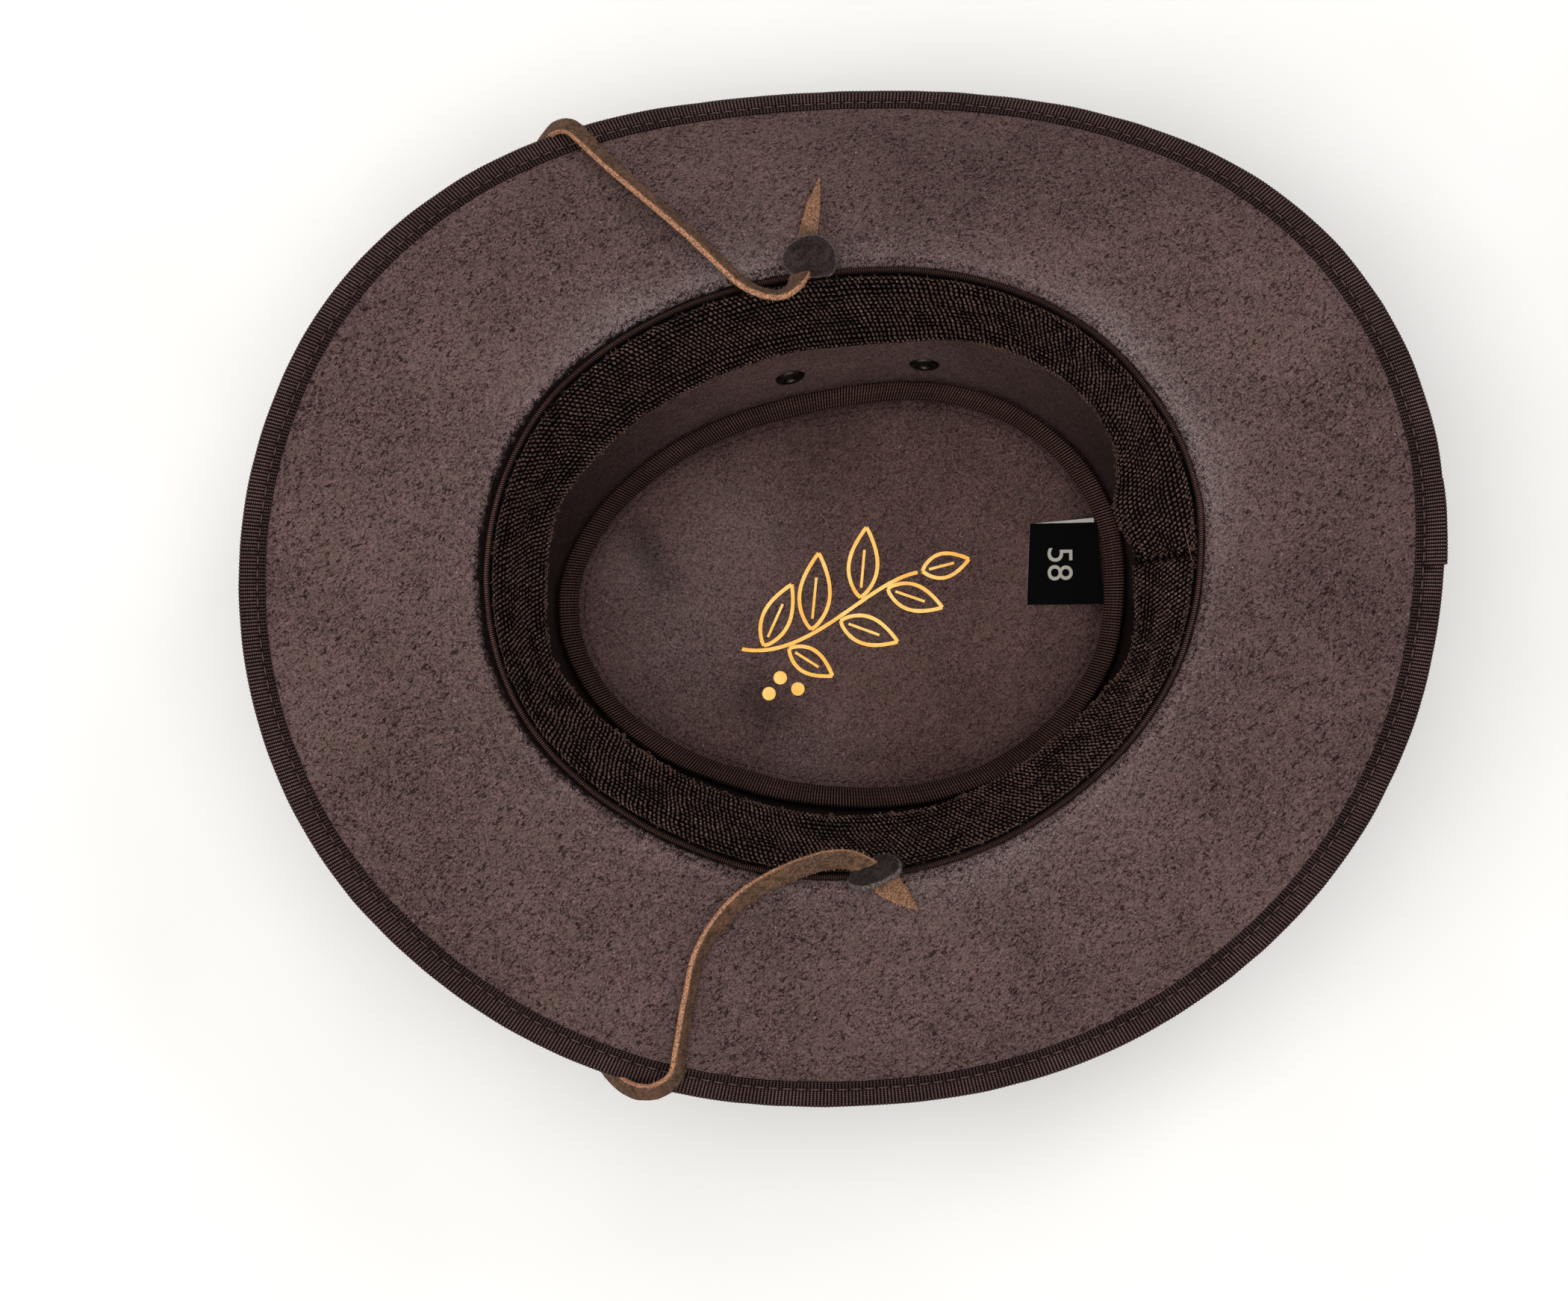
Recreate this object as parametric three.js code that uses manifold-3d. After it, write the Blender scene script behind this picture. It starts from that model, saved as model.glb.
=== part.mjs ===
// A leather bush hat lying upside down on the flat tip of its crown, brim up, chin strap laid over the brim.
// Millimetres, +Z up. The origin is on the surface under the middle of the crown tip. +X points to the back
// of the hat, where the sweatband and the brim binding are joined, and -X to its front.
import * as THREE from 'three';
import { mergeVertices } from 'three/addons/utils/BufferGeometryUtils.js';
import Module from 'manifold-3d';

const wasm = await Module();
wasm.setup();

// Size of the head opening, measured over the corded edge of the sweatband.
const HEAD_LENGTH = 200.8;
const HEAD_WIDTH = 171.6;

// Crown: its oval tip is measured at the seam, its height from the tip to the brim.
const TIP_LENGTH = 172;
const TIP_WIDTH = 128;
const CROWN_HEIGHT = 105;

// Brim, from the sweatband to the bound edge along the leather.
const BRIM_WIDTH = 68;

const LEATHER = 1.8;
const CLEARANCE = 0.3;

// Tip seam: the two leather edges stand up inside the crown and lean inward under a folded tape.
const SEAM_HEIGHT = 6.2;
const SEAM_LEAN = 12;
const TIP_TAPE = 0.7;
const TIP_TAPE_DEPTH = 4.6;
const SEAM_BASE = 1.6;
const WALL_STANDOFF = 4.2;
const CORNER_HEIGHT = 9;

// Where the brim turns down into the crown.
const BREAK_RADIUS = 2.7;
const BREAK_START = 1.6;
const BRIM_ALLOWANCE = 7;

// Ribbon folded round the brim's edge, lapped at the back.
const BINDING_WIDTH = 8.4;
const BINDING_TAPE = 0.8;
const BINDING_LAP = 24;
const LAP_ANGLE = 1;

// Elastic sweatband with a cord along its sewn edge.
const SWEATBAND_WIDTH = 33;
const SWEATBAND_TAPE = 1.2;
const CORD_DIAMETER = 2.2;
const CORD_SEAT_ANGLE = 130;

// Ventilation eyelets in the crown wall.
const EYELET_FLANGE = 9.2;
const EYELET_BORE = 4.4;
const EYELET_BARREL = 0.6;
const EYELET_RIM = 0.9;
const EYELET_HEIGHT = 20;
const EYELET_ANGLES = [70, 103.5];

// Chin strap: one flat leather lace, held at each end by a leather washer.
const LACE_WIDTH = 5.5;
const LACE_THICKNESS = 2;
const TAIL_POINT = 0.16;
const WASHER_LENGTH = 16;
const WASHER_WIDTH = 12;
const WASHER_THICKNESS = 2;
const WASHER_STATIONS = 20;

// The lace's route from the tip of one tail to the tip of the other, one row for each point:
// x, y, z, how far it is turned from flat to standing on its edge in degrees, and its width as a share.
const LACE_ROUTE = [
  [-6.4, 113, 97.2, 0, 0.08],
  [-8.0, 104, 102.0, 0, 0.75],
  [-9.8, 95.5, 105.4, 0, 1],
  [-10.6, 89.4, 107.4, 14, 1],
  [-11.3, 85.0, 109.6, 40, 1],
  [-13.2, 80.6, 110.6, 62, 1],
  [-17.0, 78.1, 110.6, 72, 1],
  [-21.6, 78.4, 110.4, 75, 1],
  [-27.4, 81.2, 110.0, 76, 1],
  [-34.0, 87.3, 108.9, 76, 1],
  [-42.6, 95.9, 106.1, 76, 1],
  [-54.6, 107.0, 100.6, 72, 1],
  [-66.4, 118.3, 93.9, 62, 1],
  [-74.6, 127.4, 88.9, 50, 1],
  [-79.2, 131.6, 87.4, 40, 1],
  [-83.6, 133.8, 84.4, 42, 1],
  [-87.6, 131.9, 78.6, 55, 1],
  [-91.4, 125.2, 71.5, 66, 1],
  [-98.5, 111.0, 52, 72, 1],
  [-106.5, 92.5, 27, 76, 1],
  [-113.0, 69.0, 9.5, 80, 1],
  [-116.5, 38.0, 3.6, 82, 1],
  [-117.5, 4.0, 3.2, 82, 1],
  [-116.0, -32.0, 3.2, 82, 1],
  [-110.5, -66.0, 6.2, 80, 1],
  [-100.0, -94.0, 22, 76, 1],
  [-86.0, -117.5, 48, 70, 1],
  [-74.5, -133.0, 74, 62, 1],
  [-67.5, -141.6, 90.6, 52, 1],
  [-61.2, -147.4, 96.6, 42, 1],
  [-54.4, -148.0, 99.2, 40, 1],
  [-48.6, -143.0, 99.2, 50, 1],
  [-45.4, -132.6, 101.3, 62, 1],
  [-42.8, -117.0, 104.6, 68, 1],
  [-38.8, -103.4, 106.8, 58, 1],
  [-29.8, -91.6, 108.8, 42, 1],
  [-16.4, -83.2, 109.4, 24, 1],
  [0.0, -78.8, 108.8, 14, 1],
  [8.4, -82.0, 108.2, 12, 1],
  [21.2, -93.6, 106.6, 0, 0.08],
];

// The lace's section, as shares of its half width and half thickness: its corners are worn round.
const LACE_CORNERS = [
  [1, 0.4], [0.86, 1], [-0.86, 1], [-1, 0.4],
  [-1, -0.4], [-0.86, -1], [0.86, -1], [1, -0.4],
];

// The hand-cut washers' outline, as shares of their half length and half width.
const WASHER_OUTLINE = [
  [-1, -0.1], [-0.75, 0.55], [-0.15, 1], [0.5, 0.95],
  [0.96, 0.25], [0.88, -0.8], [0.2, -1], [-0.65, -0.8],
];

// Each washer's middle, the way its length points in plan, and how steeply it is tipped, in degrees.
const WASHERS = [
  { middle: [-9.2, 88.9, 109.2], heading: 2, tip: 14 },
  { middle: [8.8, -82.6, 110.9], heading: 24, tip: -56 },
];

// Folded size label caught under the tape at the back.
const LABEL_LENGTH = 22;
const LABEL_WIDTH = 25.5;
const LABEL_CLOTH = 0.4;
const LABEL_RISE = 4;
const LABEL_MIDDLE = 9.5;

// Flat stations round the hat, and along the brim and the wall as shares of their length.
const STATIONS = 54;
const BRIM_STATIONS = [0.14, 0.34, 0.55, 0.74];
const WALL_STATIONS = [0.3, 0.65];
const TIP_STATIONS = [0.38, 0.62, 0.82];

// Sides of the small round pieces.
const CORD_SIDES = 6;
const EYELET_SIDES = 12;

// One row every 15 degrees from the back, turning towards the side that lies up in plan.
// opening and tip scale the plain oval of that name, pull is how far the sweatband's free edge draws inward
// as a share of its width, and slope is the angle in degrees that the brim has reached at its edge.
const PLAN = [
  { at: 0, opening: 1.0, tip: 1.0, pull: 0.42, slope: 5 },
  { at: 15, opening: 1.035, tip: 1.035, pull: 0.52, slope: 1 },
  { at: 30, opening: 1.055, tip: 1.07, pull: 0.31, slope: 5 },
  { at: 45, opening: 1.068, tip: 1.087, pull: 0.3, slope: 21 },
  { at: 60, opening: 1.058, tip: 1.072, pull: 0.35, slope: 36 },
  { at: 75, opening: 1.034, tip: 1.026, pull: 0.46, slope: 45 },
  { at: 90, opening: 1.007, tip: 0.979, pull: 0.48, slope: 47 },
  { at: 105, opening: 0.998, tip: 0.947, pull: 0.48, slope: 43 },
  { at: 120, opening: 0.996, tip: 0.933, pull: 0.51, slope: 31 },
  { at: 135, opening: 1.001, tip: 0.928, pull: 0.52, slope: 17 },
  { at: 150, opening: 1.01, tip: 0.935, pull: 0.49, slope: 6 },
  { at: 165, opening: 1.003, tip: 0.962, pull: 0.37, slope: -2 },
  { at: 180, opening: 1.0, tip: 1.0, pull: 0.38, slope: -6 },
  { at: 195, opening: 1.005, tip: 1.013, pull: 0.33, slope: -8 },
  { at: 210, opening: 1.004, tip: 1.008, pull: 0.43, slope: -9 },
  { at: 225, opening: 0.992, tip: 0.998, pull: 0.46, slope: -4 },
  { at: 240, opening: 0.99, tip: 0.985, pull: 0.48, slope: 7 },
  { at: 255, opening: 0.995, tip: 0.993, pull: 0.48, slope: 19 },
  { at: 270, opening: 0.992, tip: 1.004, pull: 0.45, slope: 25 },
  { at: 285, opening: 0.985, tip: 1.021, pull: 0.42, slope: 22 },
  { at: 300, opening: 0.977, tip: 1.034, pull: 0.41, slope: 16 },
  { at: 315, opening: 0.968, tip: 1.034, pull: 0.39, slope: 10 },
  { at: 330, opening: 0.971, tip: 1.02, pull: 0.38, slope: 6 },
  { at: 345, opening: 0.984, tip: 1.012, pull: 0.3, slope: 7 },
];

// Soft dents that push the tip up from below: place as shares of the tip's half length and half width,
// reach as a share of the half width, and depth as a share of the leather.
const DENTS = [
  { along: -0.62, across: 0.14, reach: 0.42, depth: 1.1 },
  { along: -0.3, across: -0.6, reach: 0.34, depth: 0.8 },
  { along: 0.32, across: 0.62, reach: 0.34, depth: 0.6 },
];

const COLOURS = {
  suede: 0x5c4845,
  suedeInside: 0x44352f,
  binding: 0x33251f,
  tape: 0x3a2a26,
  elastic: 0x231716,
  lace: 0x5b3c2c,
  washer: 0x2b2526,
  metal: 0x3b3a38,
  label: 0x141414,
};

function material(name, color, roughness, metalness = 0) {
  return new THREE.MeshStandardMaterial({ name, color, roughness, metalness });
}

const MATERIALS = {
  suede: material('split leather', COLOURS.suede, 0.95),
  suedeInside: material('crown leather', COLOURS.suedeInside, 0.92),
  binding: material('grosgrain ribbon', COLOURS.binding, 0.8),
  tape: material('twill tape', COLOURS.tape, 0.85),
  elastic: material('woven elastic', COLOURS.elastic, 0.85),
  lace: material('leather lace', COLOURS.lace, 0.75),
  washer: material('washer leather', COLOURS.washer, 0.9),
  metal: material('antique brass', COLOURS.metal, 0.45, 0.8),
  label: material('woven label', COLOURS.label, 0.75),
};

const radians = THREE.MathUtils.degToRad;
const point = (out, up) => new THREE.Vector2(out, up);
const stationAngles = Array.from({ length: STATIONS }, (_, i) => (i * 360) / STATIONS);

// Reads a column of PLAN at any angle, as a smooth curve through its rows.
function plan(column, angle) {
  const step = 360 / PLAN.length;
  const place = ((angle % 360) + 360) % 360 / step;
  const row = Math.floor(place);
  const t = place - row;
  const [a, b, c, d] = [-1, 0, 1, 2].map((k) => PLAN[(row + k + PLAN.length) % PLAN.length][column]);
  const bend = (3 * (b - c) + d - a) * t ** 3 + (2 * a - 5 * b + 4 * c - d) * t ** 2 + (c - a) * t;
  return b + bend / 2;
}

function ovalRadius(length, width, angle) {
  const a = length / 2;
  const b = width / 2;
  return (a * b) / Math.hypot(b * Math.cos(radians(angle)), a * Math.sin(radians(angle)));
}

const openingRadius = (angle) => ovalRadius(HEAD_LENGTH, HEAD_WIDTH, angle) * plan('opening', angle);
const tipRadius = (angle) => ovalRadius(TIP_LENGTH, TIP_WIDTH, angle) * plan('tip', angle);

// Unit vectors at the tip seam: up along the standing edges, and outward across them.
const seamUp = point(-Math.sin(radians(SEAM_LEAN)), Math.cos(radians(SEAM_LEAN)));
const seamOut = point(Math.cos(radians(SEAM_LEAN)), Math.sin(radians(SEAM_LEAN)));

function seamPoint(angle, up, out) {
  return point(tipRadius(angle), SEAM_BASE).addScaledVector(seamUp, up).addScaledVector(seamOut, out);
}

// The brim's visible face at a distance along the leather, with its slope there in radians.
function brimFace(angle, distance) {
  const steps = 24;
  const end = radians(plan('slope', angle));
  const place = point(openingRadius(angle), CROWN_HEIGHT);
  for (let i = 0; i < steps; i += 1) {
    const slope = end * Math.sqrt(((i + 0.5) / steps) * (distance / BRIM_WIDTH));
    place.x += (Math.cos(slope) * distance) / steps;
    place.y -= (Math.sin(slope) * distance) / steps;
  }
  return { place, slope: end * Math.sqrt(distance / BRIM_WIDTH) };
}

// A point raised above the brim's visible face by lift, or below it when lift is negative.
function overBrim(angle, distance, lift) {
  const { place, slope } = brimFace(angle, distance);
  return place.add(point(Math.sin(slope), Math.cos(slope)).multiplyScalar(lift));
}

// The rounded turn from brim to crown: its centre, and the lean of the wall below it.
function brimTurn(angle) {
  const centre = overBrim(angle, BREAK_START, -BREAK_RADIUS);
  const run = centre.x - tipRadius(angle) - WALL_STANDOFF;
  const lean = Math.atan2(run, centre.y - CORNER_HEIGHT);
  const { slope } = brimFace(angle, BREAK_START);
  return { centre, lean, from: Math.PI / 2 - slope, to: Math.PI - lean };
}

// The crown wall's inner face at a share of the way from the corner up to the brim.
function wallFace(angle, share) {
  const { centre, lean } = brimTurn(angle);
  const inset = BREAK_RADIUS - LEATHER - 1.4 * CLEARANCE;
  const head = centre.clone().add(point(-Math.cos(lean), Math.sin(lean)).multiplyScalar(inset));
  const foot = point(tipRadius(angle) + WALL_STANDOFF, CORNER_HEIGHT);
  return foot.lerp(head, share);
}

// Turns a section, drawn as outward and upward distances, into a ring of 3-D points at an angle.
// Between two stations a point lies on the chord, so that all pieces share the same flats.
function placed(section, angle) {
  const step = 360 / STATIONS;
  const low = Math.floor(angle / step + 1e-6) * step;
  const t = (angle - low) / step;
  const spin = (at) => section(at).map((p) => new THREE.Vector3(
    p.x * Math.cos(radians(at)),
    p.x * Math.sin(radians(at)),
    p.y,
  ));
  const first = spin(low);
  if (t < 1e-6) return first;
  const second = spin(low + step);
  return first.map((p, i) => p.lerp(second[i], t));
}

// Skins rings of equal length into one closed body: round a loop, or capped at both ends.
function skin(rings, loop = false) {
  const count = rings[0].length;
  const triangles = [];
  const spans = loop ? rings.length : rings.length - 1;
  for (let i = 0; i < spans; i += 1) {
    const here = i * count;
    const there = ((i + 1) % rings.length) * count;
    for (let j = 0; j < count; j += 1) {
      const k = (j + 1) % count;
      triangles.push(here + j, there + j, there + k, here + j, there + k, here + k);
    }
  }
  if (!loop) {
    const last = (rings.length - 1) * count;
    for (let j = 1; j < count - 1; j += 1) {
      triangles.push(0, j, j + 1, last, last + j + 1, last + j);
    }
  }
  const geometry = new THREE.BufferGeometry();
  geometry.setAttribute('position', new THREE.Float32BufferAttribute(
    rings.flat().flatMap((p) => [p.x, p.y, p.z]),
    3,
  ));
  geometry.setIndex(triangles);
  return outward(geometry);
}

// Signed volume, used to turn a body's faces outward.
function volume(geometry) {
  const p = geometry.attributes.position;
  const index = geometry.index;
  const corner = (i) => new THREE.Vector3().fromBufferAttribute(p, index.getX(i));
  let sum = 0;
  for (let i = 0; i < index.count; i += 3) {
    sum += corner(i).dot(corner(i + 1).cross(corner(i + 2)));
  }
  return sum / 6;
}

function outward(geometry) {
  if (volume(geometry) < 0) {
    const index = Array.from(geometry.index.array);
    for (let i = 0; i < index.length; i += 3) {
      [index[i + 1], index[i + 2]] = [index[i + 2], index[i + 1]];
    }
    geometry.setIndex(index);
  }
  return geometry;
}

const ringed = (section, angles = stationAngles) => skin(angles.map((a) => placed(section, a)), true);

// Crown wall: outer face down from the brim, round the corner, up as the inner half of the tip seam and back.
function crownSideSection(angle) {
  const faceAt = (share, offset) => {
    const { lean } = brimTurn(angle);
    return wallFace(angle, share).add(point(Math.cos(lean), -Math.sin(lean)).multiplyScalar(offset));
  };
  const foot = tipRadius(angle);
  const side = CLEARANCE / 2;
  const shares = [1, ...WALL_STATIONS.toReversed(), 0];
  return [
    ...shares.map((share) => faceAt(share, LEATHER)),
    point(faceAt(0, LEATHER).x - 0.12 * WALL_STANDOFF, 0.45 * CORNER_HEIGHT),
    point(foot + 0.86 * WALL_STANDOFF, 0.7 * LEATHER),
    point(foot + 0.45 * WALL_STANDOFF, 0.2 * LEATHER),
    seamPoint(angle, -0.25 * LEATHER, side),
    seamPoint(angle, SEAM_HEIGHT, side),
    seamPoint(angle, SEAM_HEIGHT, side + LEATHER),
    seamPoint(angle, 0.6 * LEATHER, side + LEATHER),
    point(foot + 0.62 * WALL_STANDOFF, 1.65 * LEATHER),
    point(foot + 0.86 * WALL_STANDOFF, 0.58 * CORNER_HEIGHT),
    ...shares.toReversed().map((share) => faceAt(share, 0)),
  ];
}

function crownTipSection(angle) {
  const edge = tipRadius(angle);
  const side = -CLEARANCE / 2;
  const lift = (share) => dentLift(angle, share * edge);
  const flat = (share, height) => point(share * edge, height + lift(share));
  return [
    ...TIP_STATIONS.map((share) => flat(share, 0)),
    point(edge - 1.8 * LEATHER, 0),
    point(edge - 0.55 * LEATHER, 0.2 * LEATHER),
    seamPoint(angle, -0.25 * LEATHER, side),
    seamPoint(angle, SEAM_HEIGHT, side),
    seamPoint(angle, SEAM_HEIGHT, side - LEATHER),
    seamPoint(angle, 0.35 * LEATHER, side - LEATHER),
    point(edge - 2.4 * LEATHER, LEATHER),
    ...TIP_STATIONS.toReversed().map((share) => flat(share, LEATHER)),
  ];
}

// How far the dents push the tip up at a place given by angle and distance from the middle.
function dentLift(angle, distance) {
  const x = distance * Math.cos(radians(angle));
  const y = distance * Math.sin(radians(angle));
  return DENTS.reduce((sum, dent) => {
    const away = Math.hypot(x - (dent.along * TIP_LENGTH) / 2, y - (dent.across * TIP_WIDTH) / 2);
    const near = Math.max(0, 1 - away / ((dent.reach * TIP_WIDTH) / 2));
    return sum + dent.depth * LEATHER * near * near * (3 - 2 * near);
  }, 0);
}

// The tip is skinned as rings from the middle of its underside round the edge to the middle of its top.
function crownTip() {
  const sections = stationAngles.map((a) => placed(crownTipSection, a));
  return skin(sections[0].map((_, i) => sections.map((section) => section[i])));
}

// A tape folded over an edge: out to in across it, and down both sides.
function tipBindingSection(angle) {
  const near = CLEARANCE / 2 + LEATHER + CLEARANCE;
  const far = near + TIP_TAPE;
  const top = SEAM_HEIGHT + CLEARANCE;
  const tipLeg = top - TIP_TAPE_DEPTH;
  const wallLeg = tipLeg + 0.6 * LEATHER;
  const at = (up, out) => seamPoint(angle, up, out);
  return [
    at(tipLeg, -far),
    at(top, -far),
    at(top + 0.8 * TIP_TAPE, -0.55 * far),
    at(top + TIP_TAPE, 0),
    at(top + 0.8 * TIP_TAPE, 0.55 * far),
    at(top, far),
    at(wallLeg, far),
    at(wallLeg, near),
    at(top, near),
    at(top, -near),
    at(tipLeg, -near),
  ];
}

function brimSection(angle) {
  const { centre, lean, from, to } = brimTurn(angle);
  const end = BRIM_WIDTH - BINDING_TAPE - CLEARANCE;
  const distances = [...BRIM_STATIONS.map((share) => share * BRIM_WIDTH), BRIM_WIDTH - BINDING_WIDTH];
  distances.push((BRIM_WIDTH - BINDING_WIDTH + end) / 2, end);
  const turn = (share, radius) => {
    const a = THREE.MathUtils.lerp(from, to, share);
    return centre.clone().add(point(Math.cos(a), Math.sin(a)).multiplyScalar(radius));
  };
  const down = point(-Math.sin(lean), -Math.cos(lean)).multiplyScalar(BRIM_ALLOWANCE);
  const inner = BREAK_RADIUS - LEATHER;
  return [
    ...distances.toReversed().map((d) => overBrim(angle, d, 0)),
    ...[0, 0.5, 1].map((share) => turn(share, BREAK_RADIUS)),
    turn(1, BREAK_RADIUS).add(down),
    turn(1, inner).add(down),
    ...[1, 0].map((share) => turn(share, inner)),
    ...distances.map((d) => overBrim(angle, d, -LEATHER)),
  ];
}

// Where the ribbon laps over itself it stands proud by its own thickness.
function bindingSection(lapped) {
  return (angle) => {
    const proud = lapped ? BINDING_TAPE : 0;
    const inner = BRIM_WIDTH - BINDING_WIDTH;
    const edge = BRIM_WIDTH - BINDING_TAPE;
    const middle = (inner + edge) / 2;
    const outer = CLEARANCE + BINDING_TAPE;
    return [
      overBrim(angle, inner, outer),
      overBrim(angle, middle, outer + proud),
      overBrim(angle, edge, outer + proud),
      overBrim(angle, BRIM_WIDTH + proud, -LEATHER / 2),
      overBrim(angle, edge, -LEATHER - outer - proud),
      overBrim(angle, inner, -LEATHER - outer),
      overBrim(angle, inner, -LEATHER - CLEARANCE),
      overBrim(angle, edge, -LEATHER - CLEARANCE),
      overBrim(angle, edge, CLEARANCE),
      overBrim(angle, middle, CLEARANCE),
      overBrim(angle, inner, CLEARANCE),
    ];
  };
}

function brimBinding() {
  const lapTurn = THREE.MathUtils.radToDeg(BINDING_LAP / (openingRadius(0) + BRIM_WIDTH));
  const step = 0.4;
  const lapEnd = LAP_ANGLE + lapTurn;
  const inLap = (a) => a > LAP_ANGLE && a < lapEnd;
  const angles = [...stationAngles.filter((a) => Math.abs(a - lapEnd) > step), LAP_ANGLE, LAP_ANGLE + step];
  angles.push(lapEnd, lapEnd + step);
  angles.sort((a, b) => a - b);
  return skin(angles.map((a) => placed(bindingSection(inLap(a)), a)), true);
}

// Centre of the sweatband's cord, seated on the turn of the brim.
function cordCentre(angle) {
  const reach = BREAK_RADIUS + CLEARANCE + CORD_DIAMETER / 2;
  const way = point(Math.cos(radians(CORD_SEAT_ANGLE)), Math.sin(radians(CORD_SEAT_ANGLE)));
  return brimTurn(angle).centre.clone().addScaledVector(way, reach);
}

function cordSection(angle) {
  return Array.from({ length: CORD_SIDES }, (_, i) => {
    const a = ((i + 0.5) * 2 * Math.PI) / CORD_SIDES;
    return cordCentre(angle).add(point(Math.cos(a), Math.sin(a)).multiplyScalar(CORD_DIAMETER / 2));
  });
}

// The band hangs from its cord and draws inward to its free edge.
function sweatbandSection(angle) {
  const pull = plan('pull', angle);
  const along = point(-pull, -Math.sqrt(1 - pull * pull));
  const across = point(-along.y, along.x);
  const start = cordCentre(angle).addScaledVector(along, CORD_DIAMETER / 2 + CLEARANCE);
  const belly = [0, 0.1, 0.15, 0];
  const at = (share, side) => start.clone()
    .addScaledVector(along, share * SWEATBAND_WIDTH)
    .addScaledVector(across, side + belly[Math.round(share * 3)] * SWEATBAND_TAPE);
  const shares = [0, 1 / 3, 2 / 3, 1];
  const half = SWEATBAND_TAPE / 2;
  return [...shares.map((s) => at(s, half)), ...shares.toReversed().map((s) => at(s, -half))];
}

// A frame on the crown wall at an angle and height: its middle, and the outward direction.
function wallFrame(angle, height) {
  const half = 180 / STATIONS;
  const share = (height - CORNER_HEIGHT) / (wallFace(angle, 1).y - CORNER_HEIGHT);
  const spot = (turn, up) => placed((at) => [wallFace(at, share + up)], angle + turn)[0];
  const across = spot(half, 0).sub(spot(-half, 0));
  const rise = spot(0, 0.05).sub(spot(0, -0.05));
  return { middle: spot(0, 0), out: across.cross(rise).normalize() };
}

// Stands a body, modelled along +Z from the wall's inner face, in its place on the wall.
function standOnWall(geometry, angle) {
  const { middle, out } = wallFrame(angle, EYELET_HEIGHT);
  const turn = new THREE.Quaternion().setFromUnitVectors(new THREE.Vector3(0, 0, 1), out);
  return geometry.applyQuaternion(turn).translate(middle.x, middle.y, middle.z);
}

function eyelet(angle) {
  const bore = EYELET_BORE / 2;
  const barrel = bore + EYELET_BARREL;
  const flange = EYELET_FLANGE / 2;
  const inside = -1.5 * CLEARANCE;
  const outside = LEATHER + 1.5 * CLEARANCE;
  const profile = [
    [bore, inside - 0.7 * EYELET_RIM],
    [0.55 * (bore + flange), inside - EYELET_RIM],
    [flange, inside],
    [barrel, inside],
    [barrel, outside],
    [flange, outside],
    [0.55 * (bore + flange), outside + EYELET_RIM],
    [bore, outside + 0.7 * EYELET_RIM],
  ];
  const closed = [...profile, profile[0]].map(([x, y]) => point(x, y));
  const ring = bodyOf(new THREE.LatheGeometry(closed, EYELET_SIDES).rotateX(Math.PI / 2));
  return standOnWall(ring, angle);
}

// Strips a three.js geometry to shared corners, so that it is one closed body.
function bodyOf(geometry) {
  const bare = geometry.clone();
  bare.deleteAttribute('normal');
  bare.deleteAttribute('uv');
  return outward(mergeVertices(bare, 1e-4));
}

function solidOf(geometry) {
  const merged = bodyOf(geometry);
  return new wasm.Manifold(new wasm.Mesh({
    numProp: 3,
    vertProperties: new Float32Array(merged.attributes.position.array),
    triVerts: new Uint32Array(merged.index.array),
  }));
}

function geometryOf(solid) {
  const mesh = solid.getMesh();
  const geometry = new THREE.BufferGeometry();
  geometry.setAttribute('position', new THREE.Float32BufferAttribute(mesh.vertProperties, 3));
  geometry.setIndex(Array.from(mesh.triVerts));
  return geometry;
}

// The eyelets of one side and the same on the other, each moved to the middle of its flat.
function eyeletAngles() {
  const flat = 360 / STATIONS;
  const middle = (angle) => (Math.floor(angle / flat) + 0.5) * flat;
  return [...EYELET_ANGLES, ...EYELET_ANGLES.map((angle) => 360 - angle)].map(middle);
}

function crownSide() {
  const radius = EYELET_BORE / 2 + EYELET_BARREL + CLEARANCE;
  const length = 6 * LEATHER;
  return geometryOf(eyeletAngles().reduce((wall, angle) => {
    const punch = new THREE.CylinderGeometry(radius, radius, length, EYELET_SIDES).rotateX(Math.PI / 2);
    return wall.subtract(solidOf(standOnWall(punch, angle)));
  }, solidOf(ringed(crownSideSection))));
}

// The label is one strip folded in two, its fold towards the front and its ends at the tape.
function label() {
  const thick = 3 * LABEL_CLOTH;
  const side = (y) => {
    const seat = tipRadius(Math.atan2(y, TIP_LENGTH / 2) * THREE.MathUtils.RAD2DEG);
    const back = Math.sqrt((seat - 3.2 * LEATHER) ** 2 - y * y);
    const front = back - LABEL_LENGTH;
    const rise = (share) => LEATHER + CLEARANCE + LABEL_RISE * share * share;
    const shares = [0.02, 0.35, 0.7, 1];
    const outline = [
      ...shares.map((share) => [share, rise(share)]),
      ...shares.toReversed().map((share) => [share, rise(share) + thick]),
      [0, rise(0) + thick / 2],
    ];
    return outline.map(([share, z]) => new THREE.Vector3(front + share * LABEL_LENGTH, y, z));
  };
  return skin([side(LABEL_MIDDLE - LABEL_WIDTH / 2), side(LABEL_MIDDLE + LABEL_WIDTH / 2)]);
}

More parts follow.
